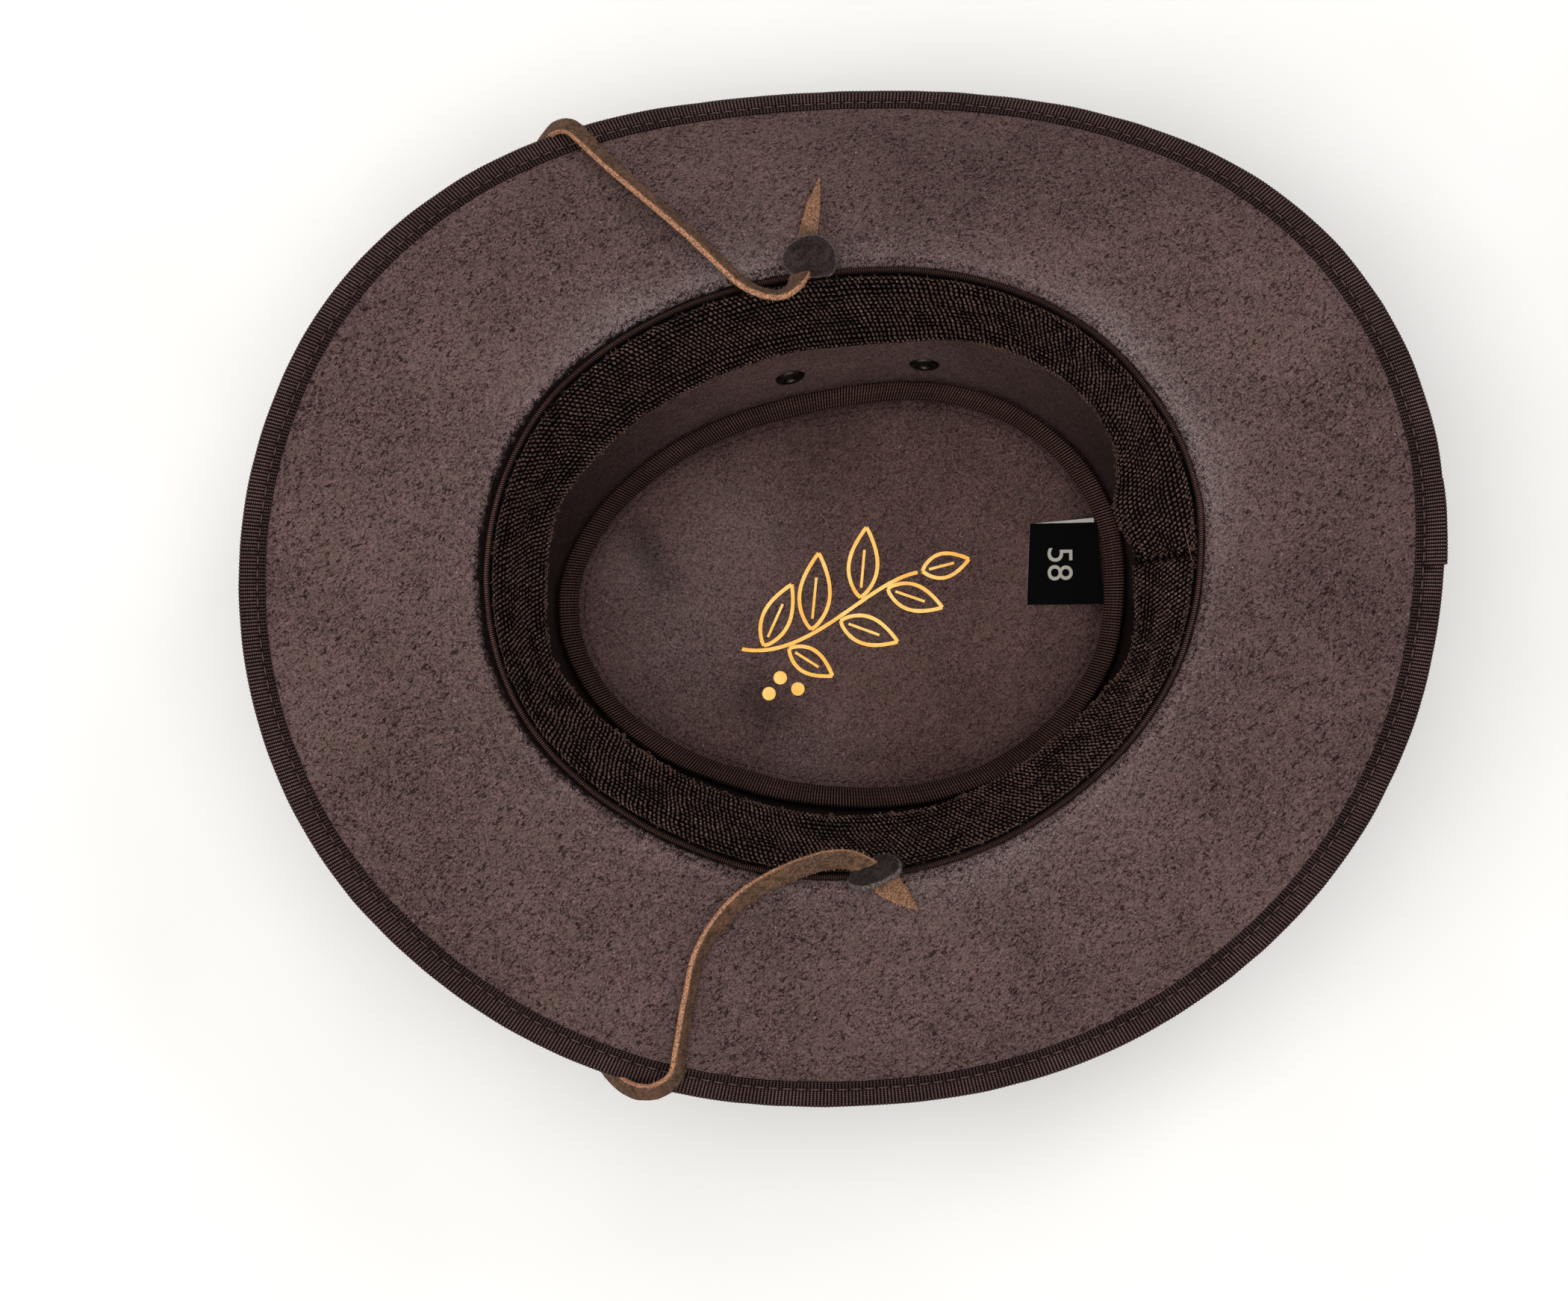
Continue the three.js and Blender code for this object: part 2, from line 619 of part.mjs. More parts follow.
// The lace is skinned from flat sections along a smooth curve through its route.
function lace(spare = 0) {
  const rows = LACE_ROUTE.map((row) => ({ place: new THREE.Vector3(...row), turn: row[3], share: row[4] }));
  const curve = new THREE.CatmullRomCurve3(rows.map((row) => row.place), false, 'centripetal');
  const last = rows.length - 1;
  const rings = [];
  rows.forEach((row, i) => {
    const next = rows[Math.min(i + 1, last)];
    const steps = Math.max(1, Math.round(row.place.distanceTo(next.place) / (1.6 * LACE_WIDTH)));
    for (let k = 0; k < (i < last ? steps : 1); k += 1) {
      const t = k / steps;
      const along = (i + t) / last;
      rings.push(laceSection(
        curve.getPoint(along),
        curve.getTangent(along),
        THREE.MathUtils.lerp(row.turn, next.turn, t),
        THREE.MathUtils.lerp(row.share, next.share, t),
        spare,
      ));
    }
  });
  return skin(rings);
}

function laceSection(middle, ahead, turn, share, spare) {
  const level = new THREE.Vector3().crossVectors(ahead, new THREE.Vector3(0, 0, 1)).normalize();
  const across = level.applyAxisAngle(ahead, radians(turn));
  const up = new THREE.Vector3().crossVectors(across, ahead).normalize();
  const wide = (share * LACE_WIDTH) / 2 + spare;
  const thick = (Math.max(share, 2 * TAIL_POINT) * LACE_THICKNESS) / 2 + spare;
  return LACE_CORNERS.map(([w, t]) => middle.clone()
    .addScaledVector(across, w * wide)
    .addScaledVector(up, t * thick));
}

// A washer is an uneven rounded disc of leather, cut where the lace goes through it.
function washer({ middle, heading, tip }) {
  const corners = WASHER_OUTLINE.map(([x, y]) => (
    new THREE.Vector3((x * WASHER_LENGTH) / 2, (y * WASHER_WIDTH) / 2, 0)
  ));
  const rim = new THREE.CatmullRomCurve3(corners, true).getPoints(WASHER_STATIONS).slice(0, -1);
  const shape = new THREE.Shape(rim.map((p) => point(p.x, p.y)));
  const disc = new THREE.ExtrudeGeometry(shape, { depth: WASHER_THICKNESS, bevelEnabled: false });
  disc.translate(0, 0, -WASHER_THICKNESS / 2).rotateX(radians(tip)).rotateZ(radians(heading));
  disc.translate(...middle);
  return geometryOf(solidOf(disc).subtract(solidOf(lace(CLEARANCE))));
}

const hat = new THREE.Group();

function add(name, geometry, look) {
  geometry.computeVertexNormals();
  const mesh = new THREE.Mesh(geometry, look);
  mesh.name = name;
  hat.add(mesh);
}

add('crown_tip', crownTip(), MATERIALS.suede);
add('crown_side', crownSide(), MATERIALS.suedeInside);
add('tip_binding', ringed(tipBindingSection), MATERIALS.tape);
add('brim', ringed(brimSection), MATERIALS.suede);
add('brim_binding', brimBinding(), MATERIALS.binding);
add('sweatband_cord', ringed(cordSection), MATERIALS.elastic);
add('sweatband', ringed(sweatbandSection), MATERIALS.elastic);
eyeletAngles().forEach((angle, i) => add(`eyelet_${i + 1}`, eyelet(angle), MATERIALS.metal));
add('chin_lace', lace(), MATERIALS.lace);
WASHERS.forEach((place, i) => add(`strap_washer_${i + 1}`, washer(place), MATERIALS.washer));
add('label', label(), MATERIALS.label);

export default hat;
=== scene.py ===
"""Finish of a leather bush hat that lies upside down on its crown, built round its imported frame.

The frame's plain solids give every section and place. The pieces here add what they leave out: napped
leather, ribbed ribbon, woven elastic, stitches, a printed sprig and the raw edges of the strap.
Lengths are metres unless a name says otherwise, and angles round the hat start at its back, +X.
"""

import math
import random
from functools import partial

import bmesh
import bpy
import numpy as np
from mathutils import Matrix, Vector, noise


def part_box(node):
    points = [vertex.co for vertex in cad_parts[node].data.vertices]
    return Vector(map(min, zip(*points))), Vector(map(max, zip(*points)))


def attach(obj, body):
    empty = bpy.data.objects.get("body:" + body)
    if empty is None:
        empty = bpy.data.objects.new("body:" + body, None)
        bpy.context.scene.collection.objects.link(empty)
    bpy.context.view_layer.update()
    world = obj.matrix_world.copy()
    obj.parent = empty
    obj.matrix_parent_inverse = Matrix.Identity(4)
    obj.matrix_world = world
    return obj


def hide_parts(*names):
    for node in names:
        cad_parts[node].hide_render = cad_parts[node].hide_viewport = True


bl_info = {
    "name": "Bush hat",
    "version": (1, 0, 0),
    "blender": (4, 5, 0),
    "location": "3D View > Sidebar > Bush hat",
    "description": "Builds a leather bush hat with its strap, band and bindings",
    "category": "Add Mesh",
}

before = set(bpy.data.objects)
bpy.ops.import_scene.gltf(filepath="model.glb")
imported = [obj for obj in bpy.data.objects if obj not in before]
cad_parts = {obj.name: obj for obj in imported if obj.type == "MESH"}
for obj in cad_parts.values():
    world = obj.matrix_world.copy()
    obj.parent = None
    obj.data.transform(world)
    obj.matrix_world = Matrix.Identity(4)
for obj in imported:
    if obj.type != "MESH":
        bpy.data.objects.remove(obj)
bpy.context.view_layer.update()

MM = 0.001
TINY = 1e-9

# The frame's ringed solids have a section at each of these flats round the hat.
FLATS = 54
FLAT_TURN = math.tau / FLATS
ON_FLAT = 0.02
MERGE = 0.02 * MM

# The brim's section has this many corners, counted from the top of its outer edge inward, down and out
# again. Its flat top ends and its roll into the opening starts at these ones.
BRIM_CORNERS = 21
BRIM_TOP_END = 6
BRIM_ROLL = 7
BRIM_ROLL_END = 9

# How many steps each leather piece has round the hat, or round a washer.
BRIM_STEPS = 540
WALL_STEPS = 324
TIP_STEPS = 360
WASHER_STEPS = 32

# How many loose fibres and stray loops there are on each piece.
STRAP_FIBRES = 1500
WASHER_FIBRES = 190
NAP_FIBRES = 2600
EDGE_FIBRES = 5200
BAND_LOOPS = 420

# Widths of the strap's and washers' fibres, the lifted nap and the brim's cut edge.
HIDE_FIBRE = 0.09 * MM
NAP_FIBRE = 0.1 * MM
EDGE_FIBRE = 0.22 * MM

EYELETS = ("eyelet_1", "eyelet_2", "eyelet_3", "eyelet_4")
EYELET_HOLE = 3.0 * MM
PUNCH_DEPTH = 12 * MM

# The camera, with its target on the brim's plane: it looks almost straight down at the opening.
CAMERA_PLACE = (-3.1 * MM, -49.4 * MM, 955 * MM)
CAMERA_TARGET = (-16.25 * MM, -20.9 * MM, 105 * MM)
CAMERA_LENS = 69.94
SENSOR_WIDTH = 36

# The chin strap's route from the tip of one tail to the tip of the other: x, y and z in millimetres, how far
# it is turned from flat to standing on its edge in degrees, and its width as a share of the full one.
LACE_ROUTE = [
    (-6.4, 113, 97.2, 0, 0.08),
    (-8.0, 104, 102.0, 0, 0.75),
    (-10.2, 92.5, 105.6, 0, 1),
    (-11.2, 86.2, 106.5, 6, 1),
    (-12.0, 82.9, 109.2, 30, 1),
    (-13.6, 80.0, 111.0, 56, 1),
    (-17.0, 78.1, 110.6, 66, 1),
    (-21.6, 78.4, 110.4, 66, 1),
    (-27.4, 81.2, 110.0, 64, 1),
    (-34.0, 87.3, 108.9, 62, 1),
    (-42.6, 95.9, 106.1, 62, 1),
    (-54.6, 107.0, 100.6, 60, 1),
    (-66.4, 118.3, 93.9, 52, 1),
    (-73.8, 126.2, 89.4, 42, 1),
    (-77.8, 129.8, 88.0, 34, 1),
    (-81.8, 130.4, 85.0, 42, 1),
    (-85.6, 128.6, 79.2, 55, 1),
    (-90.2, 123.8, 71.8, 66, 1),
    (-98.5, 111.0, 52, 72, 1),
    (-106.5, 92.5, 27, 76, 1),
    (-113.0, 69.0, 9.5, 80, 1),
    (-116.5, 38.0, 3.6, 82, 1),
    (-117.5, 4.0, 3.2, 82, 1),
    (-116.0, -32.0, 3.2, 82, 1),
    (-110.5, -66.0, 6.2, 80, 1),
    (-100.0, -94.0, 22, 76, 1),
    (-86.0, -117.5, 48, 70, 1),
    (-73.4, -131.8, 74, 62, 1),
    (-65.6, -140.0, 90.6, 52, 1),
    (-59.2, -143.9, 96.6, 42, 1),
    (-52.6, -144.2, 99.2, 40, 1),
    (-47.2, -140.4, 99.4, 50, 1),
    (-45.4, -132.6, 101.3, 62, 1),
    (-42.8, -117.0, 104.6, 68, 1),
    (-38.8, -103.4, 106.8, 58, 1),
    (-29.8, -91.6, 108.8, 42, 1),
    (-16.4, -83.2, 109.4, 24, 1),
    (0.0, -78.8, 108.8, 14, 1),
    (8.4, -82.0, 108.2, 12, 1),
    (12.6, -86.0, 107.9, -6, 1.42),
    (16.6, -89.4, 107.5, -14, 0.9),
    (20.9, -92.8, 106.8, 0, 0.08),
]
LACE_STEPS = 6
TAIL_THICKNESS = 0.34
TAIL_REACH = 19 * MM

# The strap's section as shares of its half width and half thickness, and its corners on the raw edges.
LACE_OUTLINE = [
    (1, 0.1), (0.99, 0.55), (0.9, 0.92), (0.6, 1), (0, 1), (-0.6, 1), (-0.9, 0.92), (-0.99, 0.55),
    (-1, 0.1), (-0.99, -0.55), (-0.9, -0.92), (-0.6, -1), (0, -1), (0.6, -1), (0.9, -0.92), (0.99, -0.55),
]
LACE_EDGES = [0, 1, 15, 7, 8, 9]

# The washers: middle in millimetres, heading and tip in degrees, as in the frame, and a seed for each.
# Their outline is given as shares of their reach, which is half their length and width in millimetres.
WASHERS = [
    {"node": "strap_washer_1", "middle": (-9.2, 88.9, 109.2), "heading": 2, "tip": 14, "seed": 3},
    {"node": "strap_washer_2", "middle": (8.8, -82.6, 110.9), "heading": 24, "tip": -56, "seed": 8},
]
WASHER_OUTLINE = [
    (-1, -0.1), (-0.75, 0.55), (-0.15, 1), (0.5, 0.95),
    (0.96, 0.25), (0.88, -0.8), (0.2, -1), (-0.65, -0.8),
]
WASHER_REACH = (8, 6)
WASHER_THICKNESS = 2 * MM

# The printed sprig, in millimetres: the stem's four control points, and for each leaf its place as a share
# of the stem, its side, its length and width, and the angle in degrees that it leaves the stem at.
STEM = [(-31, -17), (-10, -21), (8, 4), (24, 7)]
LEAVES = [
    {"along": 0.1, "side": 1, "length": 21, "width": 8.5, "lean": 62},
    {"along": 0.22, "side": -1, "length": 16, "width": 7.5, "lean": 50},
    {"along": 0.36, "side": 1, "length": 24, "width": 9.5, "lean": 56},
    {"along": 0.5, "side": -1, "length": 19, "width": 8.5, "lean": 54},
    {"along": 0.64, "side": 1, "length": 22, "width": 9, "lean": 50},
    {"along": 0.78, "side": -1, "length": 18, "width": 8, "lean": 50},
    {"along": 1.0, "side": 1, "length": 15, "width": 7.5, "lean": 4},
]
BERRIES = [(-19, -26), (-13.5, -29.5), (-22.5, -31)]
BERRY_RADIUS = 2.1
BERRY_SIDES = 24
INK_DEPTH = 0.12 * MM

# Creases of the tip, and places of the leather that are painted darker or lighter: x, y, reach and strength,
# with lengths in millimetres.
TIP_CREASES = [
    (-60, 16, 4, 1.1), (-60, 8, 4, 1.1), (-31, -26, 6, 0.9), (-24, -35, 7, 0.9), (44, -18, 9, 0.6),
]
# Painted shade on the tip, mostly over its creases.
TIP_PAINTED_SHADE = [
    (-62, 19, 5, 0.5), (-59, 12, 5, 0.55), (-55, 5, 6, 0.5),
    (-27, -31, 8, 0.5), (-21, -38, 7, 0.35), (-4, 46, 14, 0.3),
]
# Painted light that lightens the tip's left side.
TIP_PAINTED_LIGHT = [(-50, -14, 24, 0.32), (-32, 20, 18, 0.28), (-10, -52, 16, 0.24), (-68, 10, 12, 0.2)]
# Darker patches on the brim.
BRIM_DARK_PATCHES = [
    (34, 125, 44, 0.15), (18, 110, 12, 0.06), (150, 0, 48, 0.15), (112, -52, 26, 0.06),
    (-96, 78, 10, 0.06), (-112, -38, 14, 0.04), (-40, -92, 16, 0.08), (8, -104, 22, 0.05),
    (60, -112, 14, 0.04), (-88, -74, 9, 0.05),
]

# Where the sweatband's ends are joined, with a pucker beside the join, and between which angles the ribbon
# laps over itself, in degrees from the back.
BAND_JOIN = 4.5
BAND_PUCKER = 14
BINDING_LAP = (1.1, 9.3)

# Sewing threads left loose where the band is joined, in millimetres.
LOOSE_THREADS = [
    [(95.4, 13.0, 104.6), (96.0, 10.4, 106.3), (96.6, 7.4, 106.6), (97.4, 4.2, 106.0)],
    [(100.9, 15.0, 106.2), (102.1, 13.0, 107.6), (101.9, 10.2, 107.8), (101.0, 8.0, 106.4)],
    [(101.3, 7.0, 106.2), (102.6, 5.2, 107.7), (102.2, 2.4, 107.7), (101.2, 1.0, 106.3)],
]

# The studio's lamps: place, target, size in metres and power in watts.
LAMPS = [
    {"name": "overhead", "place": (-0.15, -0.1, 1.9), "target": (0, 0, 0.05), "size": 1.6, "power": 33},
    {"name": "key", "place": (0.9, 1.1, 1.6), "target": (0, 0, 0.05), "size": 0.6, "power": 6},
    {"name": "left_box", "place": (-1.7, -0.6, 1.2), "target": (0, 0, 0.1), "size": 1.1, "power": 7},
]
AMBIENT_LIGHT = 0.62
FLOOR_SIZE = 6
FLOOR_DEPTH = 0.05 * MM


def length_property(name, description, millimetres):
    """A length that the user can change, with its default in millimetres."""
    return bpy.props.FloatProperty(
        name=name, description=description, default=millimetres * MM, unit="LENGTH", precision=5
    )


def linear(code):
    """An sRGB hex colour as linear red, green, blue and alpha."""
    channels = [int(code[i : i + 2], 16) / 255 for i in (0, 2, 4)]
    return (*[c / 12.92 if c <= 0.04045 else ((c + 0.055) / 1.055) ** 2.4 for c in channels], 1.0)


def colour_property(name, description, code):
    """A colour that the user can change, with its default as an sRGB hex value."""
    return bpy.props.FloatVectorProperty(
        name=name, description=description, default=linear(code), size=4, subtype="COLOR", min=0, max=1
    )


class HatSizes(bpy.types.PropertyGroup):
    """Sizes of the finish."""

    rib_pitch: length_property("Ribbon rib", "Distance between the ribs of the brim's ribbon", 1.02)
    tape_pitch: length_property("Tape rib", "Distance between the ribs of the tip's tape", 0.88)
    weave_pitch: length_property("Band loop", "Length of one loop of the woven elastic", 1.5)
    weave_row: length_property("Band row", "Distance between two rows of loops", 1.75)
    cord_pitch: length_property("Cord rib", "Distance between the wraps of the band's cord", 0.62)
    stitch: length_property("Stitch", "Length of a stitch in the ribbon", 2.8)
    topstitch: length_property("Topstitch", "Length of a stitch in the tip", 1.7)
    thread: length_property("Thread", "Thickness of the sewing thread", 0.38)
    lace_width: length_property("Strap width", "Width of the chin strap", 5.5)
    lace_thickness: length_property("Strap thickness", "Thickness of the chin strap", 2.0)
    print_line: length_property("Print line", "Width of the printed lines", 1.15)


class HatColours(bpy.types.PropertyGroup):
    """Colours of the finish."""

    nap_dark: colour_property("Nap, dark", "Brushed leather in its hollows", "140b0b")
    nap_light: colour_property("Nap, light", "Brushed leather where it catches light", "6b5655")
    nap_olive: colour_property("Nap, worn", "Tinge of the worn patches", "564a42")
    nap_grey: colour_property("Nap, rubbed", "Raised nap beside the sweatband", "8a7f7f")
    lining_dark: colour_property("Crown, dark", "Inside of the crown in its hollows", "241817")
    lining_light: colour_property("Crown, light", "Inside of the crown", "6d5553")
    # The dark colours of the ribbon, tape and band are painted shade for their grooves and gaps.
    ribbon: colour_property("Ribbon", "Crests of the brim's ribbon", "6c5450")
    ribbon_groove_shade: colour_property("Ribbon, dark", "Grooves of the brim's ribbon", "050303")
    tape: colour_property("Tape", "Crests of the tip's tape", "6a5049")
    tape_groove_shade: colour_property("Tape, dark", "Grooves of the tip's tape", "0b0504")
    band: colour_property("Band", "Loops of the woven elastic", "82665d")
    band_gap_shade: colour_property("Band, dark", "Gaps of the woven elastic", "030202")
    cord: colour_property("Cord", "The wrapped cord of the band", "6e5048")
    lace: colour_property("Strap", "Faces of the chin strap", "6a5345")
    lace_edge: colour_property("Strap edge", "Raw edges of the chin strap", "c48c69")
    washer: colour_property("Washer", "Faces of the strap's washers", "352c2b")
    washer_edge: colour_property("Washer edge", "Fuzzy edges of the washers", "6e6765")
    gold: colour_property("Print", "The printed sprig", "efad3c")
    label: colour_property("Label", "Face of the size label", "040405")
    label_back: colour_property("Label back", "Back of the size label", "b9b8b2")
    metal: colour_property("Eyelet", "Antique plating of the eyelets", "4a4740")


def sizes():
    """The sizes that the panel shows."""
    return bpy.context.scene.hat_sizes


def colours():
    """The colours that the panel shows."""
    return bpy.context.scene.hat_colours


def curve_between(a, b, c, d, t):
    """Points on the centripetal curve from b to c at the share t, with a before and d after them."""

    def gap(p, q):
        return np.sqrt(np.maximum(np.linalg.norm(q - p, axis=-1, keepdims=True), TINY))

    ab, bc, cd = gap(a, b), gap(b, c), gap(c, d)
    leave = bc * ((b - a) / ab - (c - a) / (ab + bc) + (c - b) / bc)
    reach = bc * ((c - b) / bc - (d - b) / (bc + cd) + (d - c) / cd)
    square, cube = t * t, t * t * t
    ease = 3 * square - 2 * cube
    return (1 - ease) * b + ease * c + (cube - 2 * square + t) * leave + (cube - square) * reach


def walk_section(ring, first):
    """The corners of one section, in order from the one that lies furthest along first."""
    corners = {vert: np.array((math.hypot(vert.co.x, vert.co.y), vert.co.z)) for vert in ring}
    order = [max(ring, key=lambda vert: corners[vert] @ first)]
    while len(order) < len(ring):
        beside = [edge.other_vert(order[-1]) for edge in order[-1].link_edges]
        order.append(next(vert for vert in beside if vert in corners and vert not in order))
    points = np.array([corners[vert] for vert in order])
    out, up = points.T
    turns_left = np.sum(out * np.roll(up, -1) - np.roll(out, -1) * up) > 0
    return points if turns_left else np.concatenate([points[:1], points[:0:-1]])


def read_sections(node, first):
    """The section of a ringed node at each flat, as distances out and up, read from the frame."""
    mesh = bmesh.new()
    mesh.from_mesh(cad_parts[node].data)
    bmesh.ops.remove_doubles(mesh, verts=mesh.verts, dist=MERGE)
    rings = [[] for _ in range(FLATS)]
    for vert in mesh.verts:
        turn = math.atan2(vert.co.y, vert.co.x) / FLAT_TURN
        if abs(turn - round(turn)) < ON_FLAT:
            rings[round(turn) % FLATS].append(vert)
    sections = np.array([walk_section(ring, np.array(first)) for ring in rings])
    mesh.free()
    return sections


def at_turns(sections, turns):
    """Sections at any angles round the hat, on smooth curves through those of the flats."""
    place = np.asarray(turns) / FLAT_TURN
    row = np.floor(place).astype(int)
    share = (place - row)[:, None, None]
    return curve_between(*(sections[(row + step) % FLATS] for step in (-1, 0, 1, 2)), share)


def along(lines, places, closed=False):
    """Points on smooth curves through the corners of each line, at places counted in corners."""
    count = lines.shape[1]
    row = np.floor(places).astype(int)
    row = row if closed else np.minimum(row, count - 2)
    share = (places - row)[None, :, None]
    rows = [row + step for step in (-1, 0, 1, 2)]
    rows = [near % count if closed else np.clip(near, 0, count - 1) for near in rows]
    return curve_between(*(lines[:, near] for near in rows), share)


def to_space(turns, sections):
    """Sections, as distances out and up, set in space at their angles."""
    turns = np.asarray(turns)[:, None]
    out, up = sections[..., 0], sections[..., 1]
    return np.stack([out * np.cos(turns), out * np.sin(turns), up], axis=-1)


def even_turns(corner, steps=None, pitch=None, per_pitch=1):
    """Angles that split the ring through one corner of each section into equal steps."""
    fine = np.linspace(0, math.tau, 40 * FLATS + 1)
    line = to_space(fine, at_turns(corner[:, None], fine))[:, 0]
    way = distances(line)
    count = steps or per_pitch * round(way[-1] / pitch)
    return np.interp(np.arange(count) * way[-1] / count, way, fine)


def unit(vectors):
    """Vectors, each scaled to length 1."""
    return vectors / np.maximum(np.linalg.norm(vectors, axis=-1, keepdims=True), TINY)


def random_vector(chance, reach):
    """A vector of three draws from -reach to reach."""
    return np.array([chance.uniform(-reach, reach) for _ in range(3)])


def distances(line):
    """How far along a line each of its points is."""
    return np.concatenate([[0], np.cumsum(np.linalg.norm(np.diff(line, axis=0), axis=1))])


def grid_normals(grid):
    """Outward directions on a grid of points that closes both ways."""
    around = np.roll(grid, -1, 0) - np.roll(grid, 1, 0)
    across = np.roll(grid, -1, 1) - np.roll(grid, 1, 1)
    return unit(np.cross(around, across))


def bump_at(values, middle, reach):
    """A smooth hill of height 1 at the middle, for angles in degrees or for lengths."""
    return np.exp(-(((values - middle) / reach) ** 2))


def hills(points, spots):
    """The sum of smooth hills, each given by x, y, reach and height, with lengths in millimetres."""
    total = np.zeros(points.shape[:-1])
    for x, y, reach, height in spots:
        away = np.hypot(points[..., 0] / MM - x, points[..., 1] / MM - y)
        total += height * np.exp(-((away / reach) ** 2))
    return total


def noise_at(points, size, seed=0.0):
    """Smooth noise from about -1 to 1 at each point, with features of the given size."""
    shift = Vector((seed, 2 * seed, 3 * seed))
    flat = points.reshape(-1, 3) / size
    return np.array([noise.noise(Vector(p) + shift) for p in flat]).reshape(points.shape[:-1])


def new_mesh(name, points, faces, uvs=None):
    """A linked mesh object from points, faces and, for each face's corners, places in its UV map."""
    mesh = bpy.data.meshes.new(name)
    mesh.from_pydata(np.asarray(points).reshape(-1, 3).tolist(), [], [list(face) for face in faces])
    if uvs is not None:
        layer = mesh.uv_layers.new(name="cloth")
        layer.data.foreach_set("uv", np.asarray(uvs, dtype=np.float32).ravel())
    mesh.update()
    piece = bpy.data.objects.new(name, mesh)
    bpy.context.scene.collection.objects.link(piece)
    return piece


def ring_piece(name, grid, around, across):
    """A closed ring skinned over sections in space.

    Its UV map holds around and across, which have one more value than there are stations and corners, or
    which are tables of both.
    """
    stations, corners = grid.shape[:2]
    u, v = np.asarray(around), np.asarray(across)
    u = u if u.ndim == 2 else np.repeat(u[:, None], corners + 1, axis=1)
    v = v if v.ndim == 2 else np.repeat(v[None], stations + 1, axis=0)
    i, j = np.meshgrid(np.arange(stations), np.arange(corners), indexing="ij")
    ahead, beside = (i + 1) % stations, (j + 1) % corners
    quads = [i * corners + j, ahead * corners + j, ahead * corners + beside, i * corners + beside]
    quads = np.stack(quads, -1)
    face_corners = ((i, j), (i + 1, j), (i + 1, j + 1), (i, j + 1))
    places = np.stack([np.stack([u[spot], v[spot]], -1) for spot in face_corners], 2)
    return new_mesh(name, grid, quads.reshape(-1, 4).tolist(), places)


def widths_across(grid):
    """Distance along the section at each corner and back at the first, in millimetres."""
    loop = np.concatenate([grid[0], grid[0][:1]])
    return distances(loop) / MM


def set_attribute(piece, name, values):
    """Stores one number for each point, for the material to read."""
    attribute = piece.data.attributes.new(name, "FLOAT", "POINT")
    attribute.data.foreach_set("value", np.asarray(values, dtype=np.float32).ravel())


def capped_faces(stations, corners):
    """Faces of a tube that is closed at both ends."""
    faces = []
    for i in range(stations - 1):
        near, far = i * corners, (i + 1) * corners
        for j in range(corners):
            k = (j + 1) % corners
            faces.append((near + j, near + k, far + k, far + j))
    last = (stations - 1) * corners
    faces.append(tuple(range(corners - 1, -1, -1)))
    faces.append(tuple(range(last, last + corners)))
    return faces


def tube_parts(line, radii, ups, sides):
    """Points and faces of a round closed tube along a line, whose first corner lies level to the ups."""
    line = np.asarray(line)
    ahead = np.gradient(line, axis=0)
    level = unit(np.cross(ahead, ups))
    rise = unit(np.cross(level, ahead))
    angles = (np.arange(sides) * math.tau / sides)[None, :, None]
    rings = np.cos(angles) * level[:, None] + np.sin(angles) * rise[:, None]
    rings = line[:, None] + np.asarray(radii)[:, None, None] * rings
    return rings.reshape(-1, 3), capped_faces(len(line), sides)


def joined(name, parts):
    """One object from many small closed bodies, each given as points and faces."""
    points, faces, first = [], [], 0
    for body_points, body_faces in parts:
        points.append(np.asarray(body_points))
        faces += [[first + corner for corner in face] for face in body_faces]
        first += len(body_points)
    return new_mesh(name, np.concatenate(points), faces)


# A stitch's height and thickness along its length, as shares of the thread's radius.
STITCH_ARCH = np.array([-0.9, 0.1, 0.7, 0.9, 0.7, 0.1, -0.9])
STITCH_TAPER = np.array([0.4, 0.85, 1, 1, 1, 0.85, 0.4])


def stitches(line, ups, length, gap, radius, rise=1.0):
    """Short lengths of thread that dip under the cloth at both ends, along a closed line."""
    loop = np.concatenate([line, line[:1]])
    lifts = np.concatenate([ups, ups[:1]])
    way = distances(loop)
    count = round(way[-1] / (length + gap))
    step = way[-1] / count
    parts = []
    for number in range(count):
        spots = number * step + np.linspace(0, length, len(STITCH_ARCH))
        middle = np.stack([np.interp(spots, way, loop[:, axis]) for axis in range(3)], -1)
        up = np.stack([np.interp(spots, way, lifts[:, axis]) for axis in range(3)], -1)
        arch = STITCH_ARCH[:, None] * radius * rise
        parts.append(tube_parts(middle + arch * up, radius * STITCH_TAPER, up, 6))
    return parts


def fibre_piece(name, fibres, width, seed, material, slot):
    """Fine loose fibres, each given by its root, way and length: bent spikes with three sides."""
    chance = random.Random(seed)
    parts = []
    for root, way, length in fibres:
        way = unit(way)
        side = random_vector(chance, 1)
        bend = np.cross(way, side) * length * 0.35
        line = np.array([root, root + 0.5 * length * way + 0.4 * bend, root + length * way + bend])
        line[:, 2] = np.maximum(line[:, 2], width / 2)
        parts.append(tube_parts(line, [width / 2, width / 2.4, width / 8], [side] * 3, 3))
    finish_piece(joined(name, parts), material, slot)


def select_only(piece):
    """Makes a piece the only one selected, and active."""
    bpy.ops.object.select_all(action="DESELECT")
    piece.select_set(True)
    bpy.context.view_layer.objects.active = piece


def apply_modifiers(piece):
    """Applies a piece's modifiers in their order."""
    select_only(piece)
    for modifier in list(piece.modifiers):
        bpy.ops.object.modifier_apply(modifier=modifier.name)


def cut_away(piece, cutter):
    """Cuts one closed body out of a piece."""
    cut = piece.modifiers.new("cut", "BOOLEAN")
    cut.object = cutter
    cut.solver = "EXACT"
    apply_modifiers(piece)


def turned_outward(piece):
    """Recalculates the faces of a closed body so that they point outward."""
    select_only(piece)
    bpy.ops.object.mode_set(mode="EDIT")
    bpy.ops.mesh.select_all(action="SELECT")
    bpy.ops.mesh.normals_make_consistent(inside=False)
    bpy.ops.object.mode_set(mode="OBJECT")


